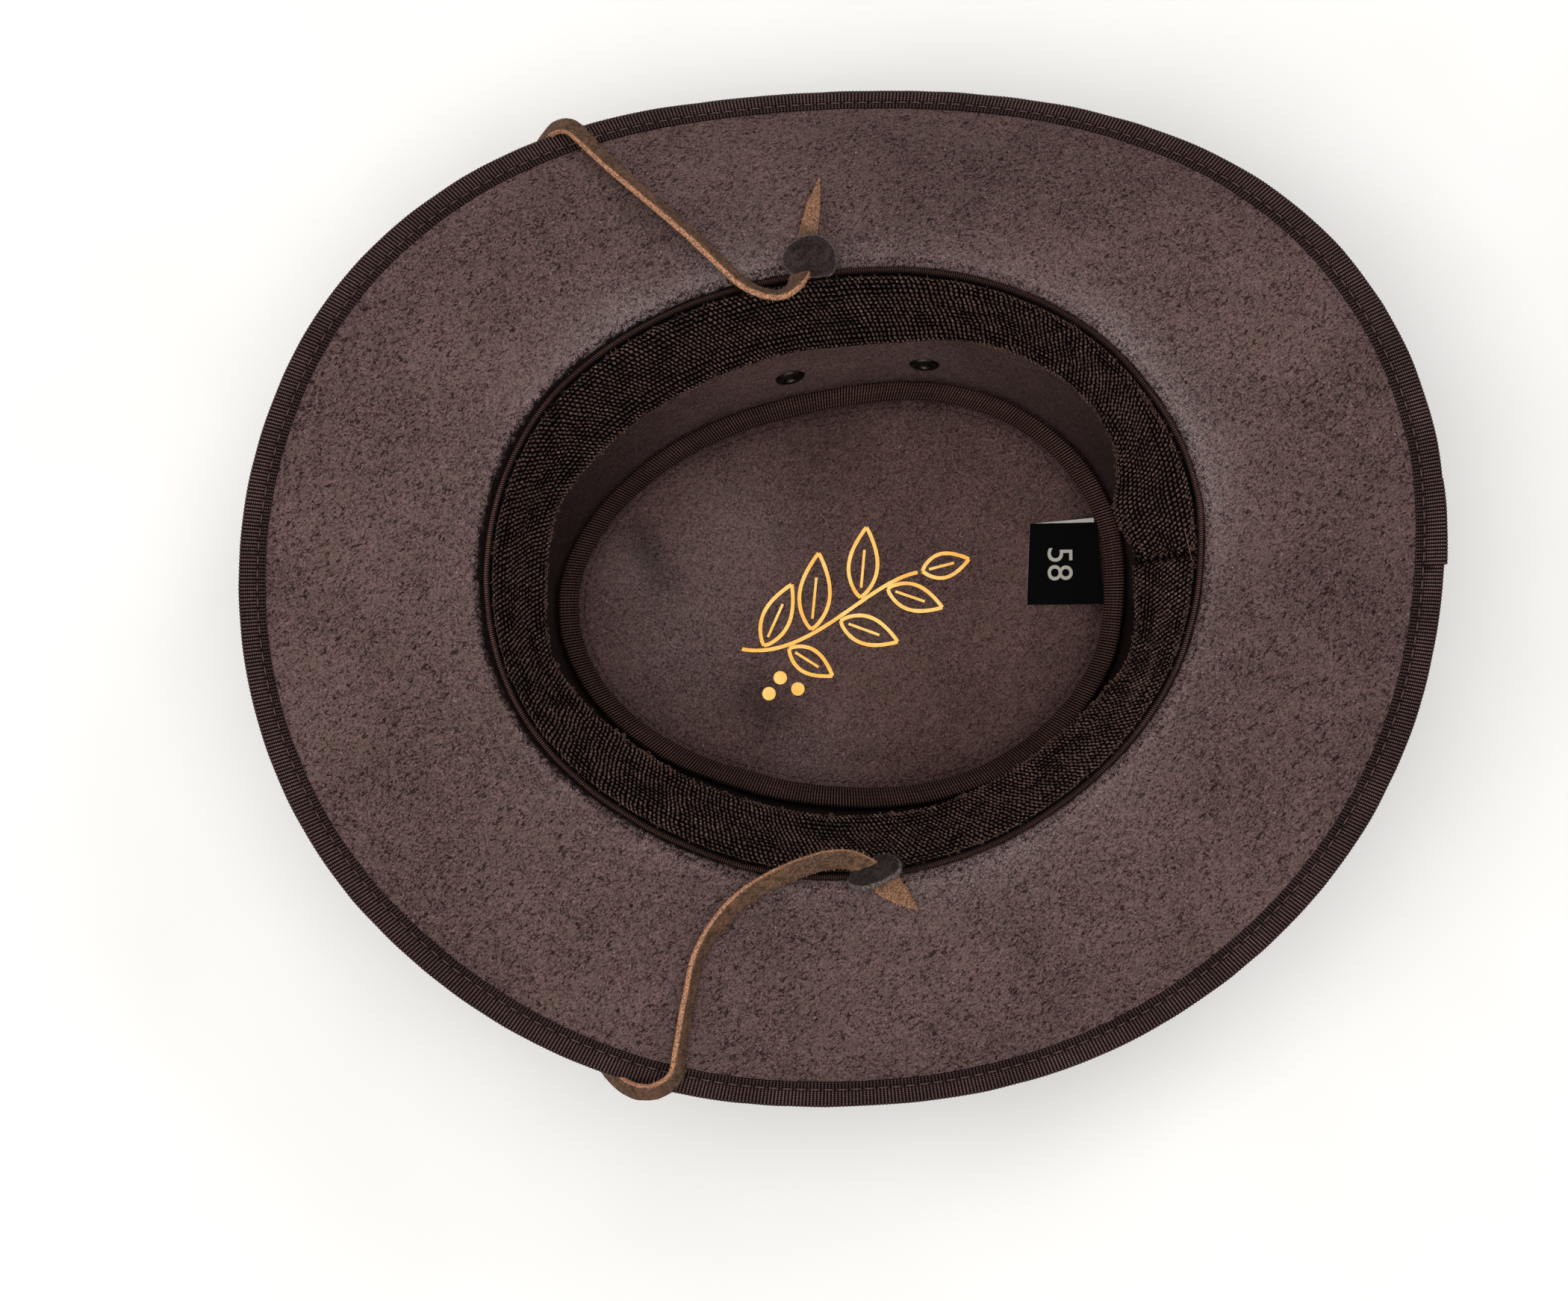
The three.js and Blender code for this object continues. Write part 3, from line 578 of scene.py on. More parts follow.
def finish_piece(piece, material, slot, *nodes, smooth=60):
    """Gives a piece its finish, hangs it from the root and hides the frame's nodes that it stands for."""
    piece.data.materials.clear()
    piece.data.materials.append(material)
    select_only(piece)
    bpy.ops.object.shade_smooth_by_angle(angle=math.radians(smooth))
    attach(piece, "root")
    if nodes:
        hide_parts(*nodes)


def new_material(name):
    """An empty material, and the function that adds a node to it."""
    material = bpy.data.materials.new(name)
    material.use_nodes = True
    material.node_tree.nodes.clear()
    return material, partial(add_node, material.node_tree)


def add_node(tree, kind, *values, output=None, **named):
    """Adds a node with its settings and links, and gives the output that is named, or else its first one.

    The values fill its inputs in their order. Of the named ones, those with a capital letter are inputs and
    the others are settings. An input takes a number, a colour or another node's output.
    """
    node = tree.nodes.new("ShaderNode" + kind)
    for name, value in named.items():
        if name.islower():
            setattr(node, name, value)
    inputs = list(zip([socket for socket in node.inputs if socket.enabled], values))
    inputs += [(node.inputs[name.replace("_", " ")], named[name]) for name in named if not name.islower()]
    for socket, value in inputs:
        if isinstance(value, bpy.types.NodeSocket):
            tree.links.new(value, socket)
        else:
            socket.default_value = value
    if output:
        return node.outputs[output]
    return next((socket for socket in node.outputs if socket.enabled), None)


def leather_material(name, dark, light, tinge, pores, raised_nap_and_light, sheen):
    """Split leather: both faces of the hide are brushed to a short nap, so its colour shifts with their lie.

    Features: smudges of 34 mm, olive tinges of 5 mm, mottling of 2.6 mm, a nap of 0.6 mm that is drawn coarse
    enough to show, slanting pores of 0.9 by 1.6 mm and a few pale flecks of lint. One attribute darkens it
    with painted shade and dark patches, and another lightens it with raised nap and painted light.
    """
    material, add = new_material(name)
    place = add("TexCoord", output="Object")
    slant = add("Mapping", place, Rotation=(0.0, 0.0, 0.75), Scale=(1.7, 1.0, 1.0), vector_type="TEXTURE")
    cloud = add("TexNoise", place, Scale=1 / (34 * MM), Detail=3, Roughness=0.6, Distortion=0.5)
    tint = add("TexNoise", place, Scale=1 / (5 * MM), Detail=2, Roughness=0.6, Distortion=1)
    mottle = add("TexNoise", place, Scale=1 / (2.6 * MM), Detail=3, Roughness=0.6)
    nap = add("TexNoise", place, Scale=1 / (0.62 * MM), Detail=3, Roughness=0.7, Distortion=1)
    tuft = add("TexNoise", slant, Scale=1 / (0.4 * MM), Detail=0, Roughness=0.6, Distortion=0.5)
    pore = add("TexNoise", slant, Scale=1 / (0.92 * MM), Detail=3, Roughness=0.6, Distortion=1)
    lint = add("TexNoise", place, Scale=1 / (0.62 * MM), Detail=0, Roughness=0.6)
    tone = add("Math", add("MapRange", nap, 0.4, 0.62), 0.6, operation="MULTIPLY")
    tone = add("Math", tone, add("MapRange", tuft, 0.3, 0.7, -0.05, 0.42))
    tone = add("Math", tone, add("MapRange", mottle, 0.35, 0.65, 0, 0.16))
    tone = add("Math", tone, add("MapRange", cloud, 0.35, 0.65, -0.06, 0.14))
    colour = add("Mix", tone, dark, light, data_type="RGBA")
    tinged = add("MapRange", tint, 0.46, 0.66, 0, 0.36)
    colour = add("Mix", tinged, colour, tinge, data_type="RGBA")
    pitted = add("MapRange", pore, 0.55, 0.612, 0, pores)
    colour = add("Mix", pitted, colour, dark, data_type="RGBA")
    # Darkened by painted shade and by dark patches.
    darkened_places = add("Attribute", attribute_name="shade_and_dark_patches", output="Fac")
    colour = add("Mix", darkened_places, colour, linear("080505"), data_type="RGBA")
    # Lightened by raised nap and by painted light.
    nap_and_painted_light = add("Attribute", attribute_name="raised_nap_and_light", output="Fac")
    nap_and_painted_light = add("Math", nap_and_painted_light, add("MapRange", nap, 0.42, 0.62, 0.05, 1), operation="MULTIPLY")
    colour = add("Mix", nap_and_painted_light, colour, raised_nap_and_light, data_type="RGBA")
    flecked = add("MapRange", lint, 0.85, 0.89, 0, 0.5)
    colour = add("Mix", flecked, colour, linear("b8a79f"), data_type="RGBA")
    height = add("Math", add("Math", nap, tuft), add("Math", mottle, 0.6, operation="MULTIPLY"))
    shader = add(
        "BsdfPrincipled", colour, Roughness=0.95, Specular_IOR_Level=0.03, Sheen_Weight=sheen,
        Sheen_Roughness=0.4, Sheen_Tint=linear("b49c96"),
        Normal=add("Bump", Height=height, Strength=0.9, Distance=0.4 * MM),
    )
    add("OutputMaterial", shader)
    return material


def ribs(add, place, count=1.0):
    """Rounded ridges across a coordinate, one for each unit when count is 1."""
    wave = add("Math", add("Math", place, math.pi * count, operation="MULTIPLY"), operation="SINE")
    return add("Math", wave, operation="ABSOLUTE")


def ribbed_material(name, crest, groove, yarn, dots, sheen_tint):
    """Corded ribbon: fine yarns bind thick ribs, so light rows of short dashes show on grooves painted dark
    as shade.

    The UV map counts ribs one way and millimetres the other. The yarns are yarn millimetres apart, and dots
    is how bright their gaps are. The attribute shade paints more shade, in the groove's colour, over the
    ribs.
    """
    material, add = new_material(name)
    uv = add("TexCoord", output="UV")
    place = add("TexCoord", output="Object")
    rough = add("TexNoise", place, Scale=1 / (0.7 * MM))
    shade = add("TexNoise", place, Scale=1 / (16 * MM))
    rib = ribs(add, add("SeparateXYZ", uv, output="X"))
    bind = ribs(add, add("SeparateXYZ", uv, output="Y"), 1 / yarn)
    weave = add("MapRange", rib, 0.5, 0.97)
    weave = add("Math", weave, add("MapRange", bind, 0.3, 0.9, dots, 1), operation="MULTIPLY")
    weave = add("Math", weave, add("MapRange", rough, 0.3, 0.7, 0.55, 1.15), operation="MULTIPLY")
    # Painted shade: the grooves between the ribs are painted near black, and the crests lighter.
    colour = add("Mix", weave, groove, crest, data_type="RGBA")
    colour = add("Mix", add("MapRange", shade, 0.35, 0.65, 0, 0.3), colour, groove, data_type="RGBA")
    # Painted shade from the attribute shade.
    painted_shade = add("Attribute", attribute_name="shade", output="Fac")
    colour = add("Mix", painted_shade, colour, groove, data_type="RGBA")
    shader = add(
        "BsdfPrincipled", colour, Roughness=0.75, Specular_IOR_Level=0.04, Sheen_Weight=0.03,
        Sheen_Tint=sheen_tint, Normal=add("Bump", Height=weave, Strength=0.55, Distance=0.25 * MM),
    )
    add("OutputMaterial", shader)
    return material


def elastic_material():
    """Woven elastic of covered rubber threads: staggered slanting loops stand on an open ground painted dark
    as shade.

    The UV map counts loops one way and rows the other, with the same wander that the mesh has.
    """
    material, add = new_material("Woven elastic")
    uv = add("TexCoord", output="UV")
    along_loop, across_row = (add("SeparateXYZ", uv, output=axis) for axis in "XY")
    place = add("TexCoord", output="Object")
    strand = add("TexNoise", place, Scale=1 / (0.5 * MM), Detail=2, Roughness=0.6, Distortion=0.8)
    single = add("TexNoise", place, Scale=1 / (2.2 * MM), Detail=1, Roughness=0.6)
    broad = add("TexNoise", place, Scale=1 / (13 * MM), Detail=2, Roughness=0.6)
    loop = add("Math", along_loop, add("Math", across_row, 0.5, operation="MULTIPLY"))
    knit = add("Math", ribs(add, loop), ribs(add, across_row), operation="MULTIPLY")
    knit = add("MapRange", knit, 0.46, 0.88)
    knit = add("Math", knit, add("MapRange", strand, 0.36, 0.62, 0.3, 1.2), operation="MULTIPLY")
    knit = add("Math", knit, add("MapRange", single, 0.3, 0.7, 0.4, 1.15), operation="MULTIPLY")
    knit = add("Math", knit, add("MapRange", broad, 0.3, 0.7, 0.75, 1.05), operation="MULTIPLY")
    # Painted shade: the gaps between the loops are painted near black.
    colour = add("Mix", knit, colours().band_gap_shade, colours().band, data_type="RGBA")
    # Painted shade along the join, from the attribute shade.
    join = add("Attribute", attribute_name="shade", output="Fac")
    colour = add("Mix", join, colour, colours().band_gap_shade, data_type="RGBA")
    relief = add("Bump", Height=knit, Strength=0.8, Distance=0.5 * MM)
    shader = add("BsdfPrincipled", colour, Roughness=0.7, Specular_IOR_Level=0.04, Normal=relief)
    add("OutputMaterial", shader)
    return material


def thread_material(name, colour, size):
    """Spun polyester thread: a slight gloss on a fine twist, which is drawn coarse enough to show."""
    material, add = new_material(name)
    twist = add("TexNoise", add("TexCoord", output="Object"), Scale=1 / size)
    shade = add("MapRange", twist, 0.3, 0.7, 0.55, 1)
    shade = add("Mix", shade, linear("120b0a"), colour, data_type="RGBA")
    relief = add("Bump", Height=twist, Strength=0.5, Distance=0.15 * MM)
    add("OutputMaterial", add("BsdfPrincipled", shade, Roughness=0.7, Specular_IOR_Level=0.06, Normal=relief))
    return material


def edged_leather_material(name, face, edge, fibre, sheen=0.05):
    """Cut split leather: dyed faces, and raw edges whose lighter fibres were never dyed through.

    The attribute raw says where an edge is.
    """
    material, add = new_material(name)
    place = add("TexCoord", output="Object")
    grain = add("TexNoise", place, Scale=1 / (0.55 * MM), Detail=3, Roughness=0.7)
    patch = add("TexNoise", place, Scale=1 / (7 * MM))
    blotch = add("TexNoise", place, Scale=1 / (1.9 * MM), Detail=3, Roughness=0.6, Distortion=0.6)
    dyed = add("Mix", add("MapRange", grain, 0.3, 0.7), linear(fibre), face, data_type="RGBA")
    dyed = add("Mix", add("MapRange", patch, 0.45, 0.7, 0, 0.1), dyed, edge, data_type="RGBA")
    dyed = add("Mix", add("MapRange", blotch, 0.48, 0.62, 0, 0.55), dyed, linear(fibre), data_type="RGBA")
    open_edge = add("Mix", add("MapRange", grain, 0.4, 0.66), face, edge, data_type="RGBA")
    raw = add("Attribute", attribute_name="raw", output="Fac")
    raw = add("Math", raw, add("MapRange", grain, 0.2, 0.5, 0.3, 1), operation="MULTIPLY")
    colour = add("Mix", raw, dyed, open_edge, data_type="RGBA")
    shader = add(
        "BsdfPrincipled", colour, Roughness=0.85, Specular_IOR_Level=0.03, Sheen_Weight=sheen,
        Sheen_Tint=linear("b49c96"), Normal=add("Bump", Height=grain, Strength=0.8, Distance=0.4 * MM),
    )
    add("OutputMaterial", shader)
    return material


def print_material():
    """Screen-printed gold ink on brushed leather: flat satin ink, broken where the nap pokes through."""
    material, add = new_material("Gold screen print")
    place = add("TexCoord", output="Object")
    nap = add("TexNoise", place, Scale=1 / (0.55 * MM), Detail=3, Roughness=0.7)
    broad = add("TexNoise", place, Scale=1 / (9 * MM), Detail=1)
    ink = add("MapRange", broad, 0.35, 0.65)
    ink = add("Mix", ink, colours().gold, linear("f6c468"), data_type="RGBA")
    colour = add("Mix", add("MapRange", nap, 0.6, 0.72, 0, 0.75), ink, linear("6b4a2c"), data_type="RGBA")
    relief = add("Bump", Height=nap, Strength=0.5, Distance=0.2 * MM)
    add("OutputMaterial", add("BsdfPrincipled", colour, Roughness=0.5, Metallic=0.15, Normal=relief))
    return material


def metal_material():
    """Brass with an antique black plating, which tarnishes in patches that are duller and darker."""
    material, add = new_material("Antique plated brass")
    tarnish = add("TexNoise", add("TexCoord", output="Object"), Scale=1 / (1.3 * MM), Detail=3)
    colour = add("MapRange", tarnish, 0.35, 0.65)
    colour = add("Mix", colour, linear("24231f"), colours().metal, data_type="RGBA")
    dull = add("MapRange", tarnish, 0.3, 0.7, 0.3, 0.5)
    add("OutputMaterial", add("BsdfPrincipled", colour, Metallic=1, Roughness=dull))
    return material


def label_material(name, colour, lift):
    """Damask-woven polyester: a tight smooth face with fine rows of weft and a slight satin gloss."""
    material, add = new_material(name)
    down = add("SeparateXYZ", add("TexCoord", output="Object"), output="Y")
    weft = ribs(add, down, 1 / (0.45 * MM))
    shade = add("Math", weft, lift, operation="MULTIPLY")
    shade = add("Mix", shade, colour, linear("8d8d8d"), data_type="RGBA")
    relief = add("Bump", Height=weft, Strength=0.3, Distance=0.08 * MM)
    add("OutputMaterial", add("BsdfPrincipled", shade, Roughness=0.8, Specular_IOR_Level=0.03, Normal=relief))
    return material


def floor_material():
    """Matt white card, lit until it burns out."""
    material, add = new_material("White card")
    grain = add("TexNoise", add("TexCoord", output="Object"), Scale=1 / (90 * MM))
    colour = add("MapRange", grain, 0.3, 0.7)
    colour = add("Mix", colour, linear("dbdcdc"), linear("dfe0e1"), data_type="RGBA")
    add("OutputMaterial", add("BsdfPrincipled", colour, Roughness=0.9, Specular_IOR_Level=0.1))
    return material


def lace_sections(spare=0.0):
    """The strap's path, and the corners of its section at each point of the path, spare thicker all round."""
    rows = np.array(LACE_ROUTE, dtype=float)
    spots = rows[:, :3] * MM
    spots = np.concatenate([2 * spots[:1] - spots[1:2], spots, 2 * spots[-1:] - spots[-2:-1]])
    path, turned = [], []
    for step in range((len(rows) - 1) * LACE_STEPS + 1):
        row = min(step // LACE_STEPS, len(rows) - 2)
        share = (step - row * LACE_STEPS) / LACE_STEPS
        path.append(curve_between(*spots[row : row + 4], share))
        turned.append(rows[row, 3:] + share * (rows[row + 1, 3:] - rows[row, 3:]))
    path = np.array(path)
    rings = []
    for middle, way, (turn, share) in zip(path, unit(np.gradient(path, axis=0)), turned):
        way = Vector(way)
        level = way.cross(Vector((0, 0, 1))).normalized()
        level.rotate(Matrix.Rotation(math.radians(turn), 3, way))
        across = np.array(level)
        above = np.array(level.cross(way).normalized())
        wide = share * sizes().lace_width / 2 + spare
        thick = min(max(share, TAIL_THICKNESS), 1) * sizes().lace_thickness / 2 + spare
        rings.append([middle + across * w * wide + above * t * thick for w, t in LACE_OUTLINE])
    return path, np.array(rings)


class HAT_OT_stage(bpy.types.Operator):
    """Adds the camera, the pale floor and the soft studio light"""

    bl_idname = "hat.stage"
    bl_label = "Stage"

    def execute(self, context):
        back = (Vector(CAMERA_PLACE) - Vector(CAMERA_TARGET)).normalized()
        right = Vector((0, 1, 0)).cross(back).normalized()
        turn = Matrix((right, back.cross(right), back)).transposed().to_euler()
        bpy.ops.object.camera_add(location=CAMERA_PLACE, rotation=turn)
        camera = context.active_object
        camera.name = "camera"
        camera.data.sensor_width = SENSOR_WIDTH
        camera.data.lens = CAMERA_LENS
        camera.data.clip_end = 20
        context.scene.camera = camera

        bpy.ops.mesh.primitive_plane_add(size=FLOOR_SIZE)
        floor = context.active_object
        floor.name = "floor"
        floor.data.transform(Matrix.Translation((0, 0, -FLOOR_DEPTH)))
        floor.data.materials.append(floor_material())

        for spec in LAMPS:
            turn = (Vector(spec["target"]) - Vector(spec["place"])).to_track_quat("-Z", "Y").to_euler()
            bpy.ops.object.light_add(type="AREA", location=spec["place"], rotation=turn)
            lamp = context.active_object
            lamp.name = spec["name"]
            lamp.data.size = spec["size"]
            lamp.data.energy = spec["power"]
            lamp.data.color = linear("fffaf5")[:3]
            lamp.visible_camera = False

        world = bpy.data.worlds.new("studio")
        context.scene.world = world
        world.use_nodes = True
        background = world.node_tree.nodes["Background"]
        background.inputs["Color"].default_value = linear("fbfaf9")
        background.inputs["Strength"].default_value = AMBIENT_LIGHT
        context.scene.view_settings.view_transform = "Standard"
        context.scene.view_settings.look = "None"
        return {"FINISHED"}


class HAT_OT_lace(bpy.types.Operator):
    """Adds the chin strap along its route, with its raw edges and loose fibres"""

    bl_idname = "hat.lace"
    bl_label = "Chin strap"

    def execute(self, context):
        path, rings = lace_sections()
        uneven = noise_at(rings, 5 * MM, seed=1.0)[..., None] * 0.18 * MM
        ragged = noise_at(rings, 1.1 * MM, seed=5.0)[..., None] * 0.12 * MM
        away = unit(rings - path[:, None])
        rings = rings + away * (uneven + ragged)
        piece = new_mesh("chin_lace_leather", rings, capped_faces(*rings.shape[:2]))
        turned_outward(piece)
        raw = np.clip((np.abs(np.array(LACE_OUTLINE)[:, 0]) - 0.92) / 0.06, 0, 1)
        way = distances(path)
        tail = np.clip((TAIL_REACH - np.minimum(way, way[-1] - way)) / (3 * MM), 0, 1)
        set_attribute(piece, "raw", np.maximum(raw[None], 0.42 * tail[:, None]))
        material = edged_leather_material("Oiled lace leather", colours().lace, colours().lace_edge, "2a1b12")
        finish_piece(piece, material, "lace_leather", "chin_lace", smooth=75)

        chance = random.Random(11)
        fibres = []
        for _ in range(STRAP_FIBRES):
            station = chance.randrange(8, len(path) - 2)
            corner = chance.choice(LACE_EDGES)
            way = away[station, corner] + random_vector(chance, 0.7)
            root = rings[station, corner] - 0.1 * MM * away[station, corner]
            fibres.append((root, way, chance.uniform(0.3, 1.0) * MM))
        hide = thread_material("Raw hide fibres", colours().lace_edge, 0.5 * MM)
        fibre_piece("chin_lace_fibres", fibres, HIDE_FIBRE, 12, hide, "lace_leather")
        return {"FINISHED"}


def washer_turn(spec):
    """The move from a washer lying flat at the origin to its place on the strap."""
    turn = Matrix.Rotation(math.radians(spec["heading"]), 4, "Z")
    tip = Matrix.Rotation(math.radians(spec["tip"]), 4, "X")
    return Matrix.Translation(Vector(spec["middle"]) * MM) @ turn @ tip


class HAT_OT_washers(bpy.types.Operator):
    """Adds the two leather washers that hold the strap's ends"""

    bl_idname = "hat.washers"
    bl_label = "Strap washers"

    def execute(self, context):
        leather = edged_leather_material(
            "Black split leather", colours().washer, colours().washer_edge, "100c0b", sheen=0.0
        )
        hide = thread_material("Grey hide fibres", linear("565150"), 0.5 * MM)
        rings = lace_sections(spare=0.15 * MM)[1]
        cutter = new_mesh("slot_cutter", rings, capped_faces(*rings.shape[:2]))
        turned_outward(cutter)
        rim = self.outline()
        for spec in WASHERS:
            low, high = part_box(spec["node"])
            piece = self.disc(spec)
            piece.name = spec["node"] + "_leather"
            cut_away(piece, cutter)
            back = washer_turn(spec).inverted()
            flat = np.array([back @ vert.co for vert in piece.data.vertices])
            turns = np.arctan2(flat[:, 1], flat[:, 0])
            limit = np.interp(turns, np.arctan2(rim[:, 1], rim[:, 0]), np.hypot(*rim.T), period=math.tau)
            set_attribute(piece, "raw", np.clip((np.hypot(*flat[:, :2].T) / limit - 0.9) / 0.07, 0, 1))
            finish_piece(piece, leather, "washer_leather", spec["node"], smooth=50)
            self.fringe(piece, np.array((low + high) / 2), spec, hide)
        bpy.data.objects.remove(cutter)
        self.declare_strap()
        return {"FINISHED"}

    def declare_strap(self):
        """Gathers the strap's path and the names of the pieces on it, but hands them to nothing."""
        path = lace_sections()[0]
        on_strap = ["chin_lace_fibres"]
        for spec in WASHERS:
            on_strap += [spec["node"] + "_leather", spec["node"] + "_fibres"]

    def outline(self):
        """The uneven outline of a washer that lies flat."""
        corners = np.array(WASHER_OUTLINE) * np.array(WASHER_REACH) * MM
        places = np.arange(WASHER_STEPS) * len(corners) / WASHER_STEPS
        return along(corners[None], places, closed=True)[0]

    def disc(self, spec):
        """An uneven, slightly curled disc: a circle pulled to the outline, thickened and rounded."""
        bpy.ops.mesh.primitive_circle_add(vertices=WASHER_STEPS, radius=1, fill_type="NGON")
        piece = bpy.context.active_object
        for vert, spot in zip(piece.data.vertices, self.outline()):
            vert.co = (spot[0], spot[1], 0)
        bpy.ops.object.mode_set(mode="EDIT")
        bpy.ops.mesh.select_all(action="SELECT")
        bpy.ops.mesh.inset(thickness=1.1 * MM)
        bpy.ops.mesh.inset(thickness=2.0 * MM)
        bpy.ops.mesh.select_all(action="SELECT")
        bpy.ops.mesh.extrude_region_move(TRANSFORM_OT_translate={"value": (0, 0, WASHER_THICKNESS)})
        bpy.ops.mesh.select_all(action="SELECT")
        bpy.ops.mesh.normals_make_consistent(inside=False)
        bpy.ops.object.mode_set(mode="OBJECT")
        smooth = piece.modifiers.new("round", "SUBSURF")
        smooth.levels = smooth.render_levels = 2
        apply_modifiers(piece)
        seed = Vector((spec["seed"], 0, 0))
        for vert in piece.data.vertices:
            curl = 0.05 * (vert.co.x / MM) ** 2 * 0.12 * MM
            rough = noise.noise(vert.co / (1.3 * MM) + seed) * 0.2 * MM
            vert.co.z += curl + rough - 1 * MM
            vert.co.xy *= 1 + 0.03 * noise.noise(vert.co / (2.2 * MM) - seed)
        piece.data.transform(washer_turn(spec))
        return piece

    def fringe(self, piece, centre, spec, material):
        """Pale fibres round the cut edge."""
        chance = random.Random(spec["seed"])
        rim = [vert for vert in piece.data.vertices if np.linalg.norm(np.array(vert.co) - centre) > 5.4 * MM]
        fibres = []
        for _ in range(WASHER_FIBRES):
            vert = chance.choice(rim)
            way = np.array(vert.normal) + random_vector(chance, 0.8)
            root = np.array(vert.co) - 0.1 * MM * np.array(vert.normal)
            fibres.append((root, way, chance.uniform(0.3, 1.1) * MM))
        fibre_piece(spec["node"] + "_fibres", fibres, HIDE_FIBRE, spec["seed"], material, "washer_leather")


class HAT_OT_brim(bpy.types.Operator):
    """Adds the brim's leather with its slow waves"""

    bl_idname = "hat.brim"
    bl_label = "Brim"

    def execute(self, context):
        sections = read_sections("brim", (2, 1))
        turns = even_turns(sections[:, 3], steps=BRIM_STEPS)
        top = np.arange(0, BRIM_TOP_END, 1 / 6)
        near = np.arange(BRIM_TOP_END, BRIM_ROLL, 1 / 8)
        roll = np.arange(BRIM_ROLL, BRIM_ROLL_END, 1 / 4)
        rest = np.arange(BRIM_ROLL_END, BRIM_CORNERS, 1 / 2)
        places = np.concatenate([top, near, roll, rest])
        flat = at_turns(sections, turns)
        grid = to_space(turns, along(flat, places, closed=True))
        distance = np.linalg.norm(grid[..., :2], axis=2) - flat[:, BRIM_ROLL, :1]
        wave = noise_at(grid, 46 * MM, seed=4.0) * 0.55 * MM + noise_at(grid, 17 * MM, seed=9.0) * 0.16 * MM
        held = np.clip((distance - 3 * MM) / (15 * MM), 0, 1) * np.clip((60 * MM - distance) / (9 * MM), 0, 1)
        grid[..., 2] += wave * held
        piece = ring_piece("brim_leather", grid, np.arange(len(turns) + 1), widths_across(grid))
        turn = turns[:, None]
        degrees = np.degrees(turn)
        patchy = 0.75 + 0.5 * noise_at(grid, 22 * MM, seed=2.0)
        ends = 0.22 + 0.8 * bump_at(degrees, 122, 26) + 0.7 * bump_at(degrees, 32, 30)
        ends = ends + 0.4 * bump_at(degrees, 300, 25)
        raised_nap_and_light = np.exp(-np.maximum(distance - 1 * MM, 0) / (7.5 * MM)) * ends * np.clip(patchy, 0, 1)
        # Painted shade: the brim's roll into the opening is painted nearly black, wider at the front, for the
        # shaded gap beside the cord.
        front, back = np.clip(-np.cos(turn), 0, 1), np.clip(np.cos(turn), 0, 1)
        ragged = (0.3 + 0.7 * front) * noise_at(grid, 1.3 * MM, seed=8.0)
        limit = -1.5 + 2.1 * front**1.5 + 0.6 * back**2 + ragged
        edge = np.clip(1.8 * (limit - distance / MM), 0, 1) * (np.arange(grid.shape[1]) < 80)
        raised_nap_and_light *= 0.75 * (1 - edge)
        set_attribute(piece, "raised_nap_and_light", raised_nap_and_light)
        set_attribute(piece, "shade_and_dark_patches", np.clip(edge + hills(grid, BRIM_DARK_PATCHES), 0, 0.98))
        material = leather_material(
            "Brushed split leather",
            colours().nap_dark,
            colours().nap_light,
            colours().nap_olive,
            pores=0.82,
            raised_nap_and_light=colours().nap_grey,
            sheen=0.05,
        )
        finish_piece(piece, material, "split_leather", "brim")
        self.lifted_nap(grid, raised_nap_and_light, distance)
        return {"FINISHED"}

    def lifted_nap(self, grid, raised_nap_and_light, distance):
        """Pale fibres that the sewing has pulled up beside the opening."""
        chance = random.Random(17)
        near = np.argwhere((raised_nap_and_light > 0.12) & (distance > 0.4 * MM) & (distance < 8 * MM))
        fibres = []
        while len(fibres) < NAP_FIBRES:
            station, corner = near[chance.randrange(len(near))]
            if chance.random() > raised_nap_and_light[station, corner]:
                continue
            other = grid[(station + 1) % len(grid), corner - 1]
            root = grid[station, corner] + chance.random() * (other - grid[station, corner])
            way = np.array([chance.uniform(-1, 1), chance.uniform(-1, 1), chance.uniform(0.05, 0.4)])
            fibres.append((root, way, chance.uniform(0.6, 1.6) * MM))
        nap = thread_material("Pale lifted nap", linear("9c8e8a"), 0.5 * MM)
        fibre_piece("brim_nap", fibres, NAP_FIBRE, 18, nap, "split_leather")


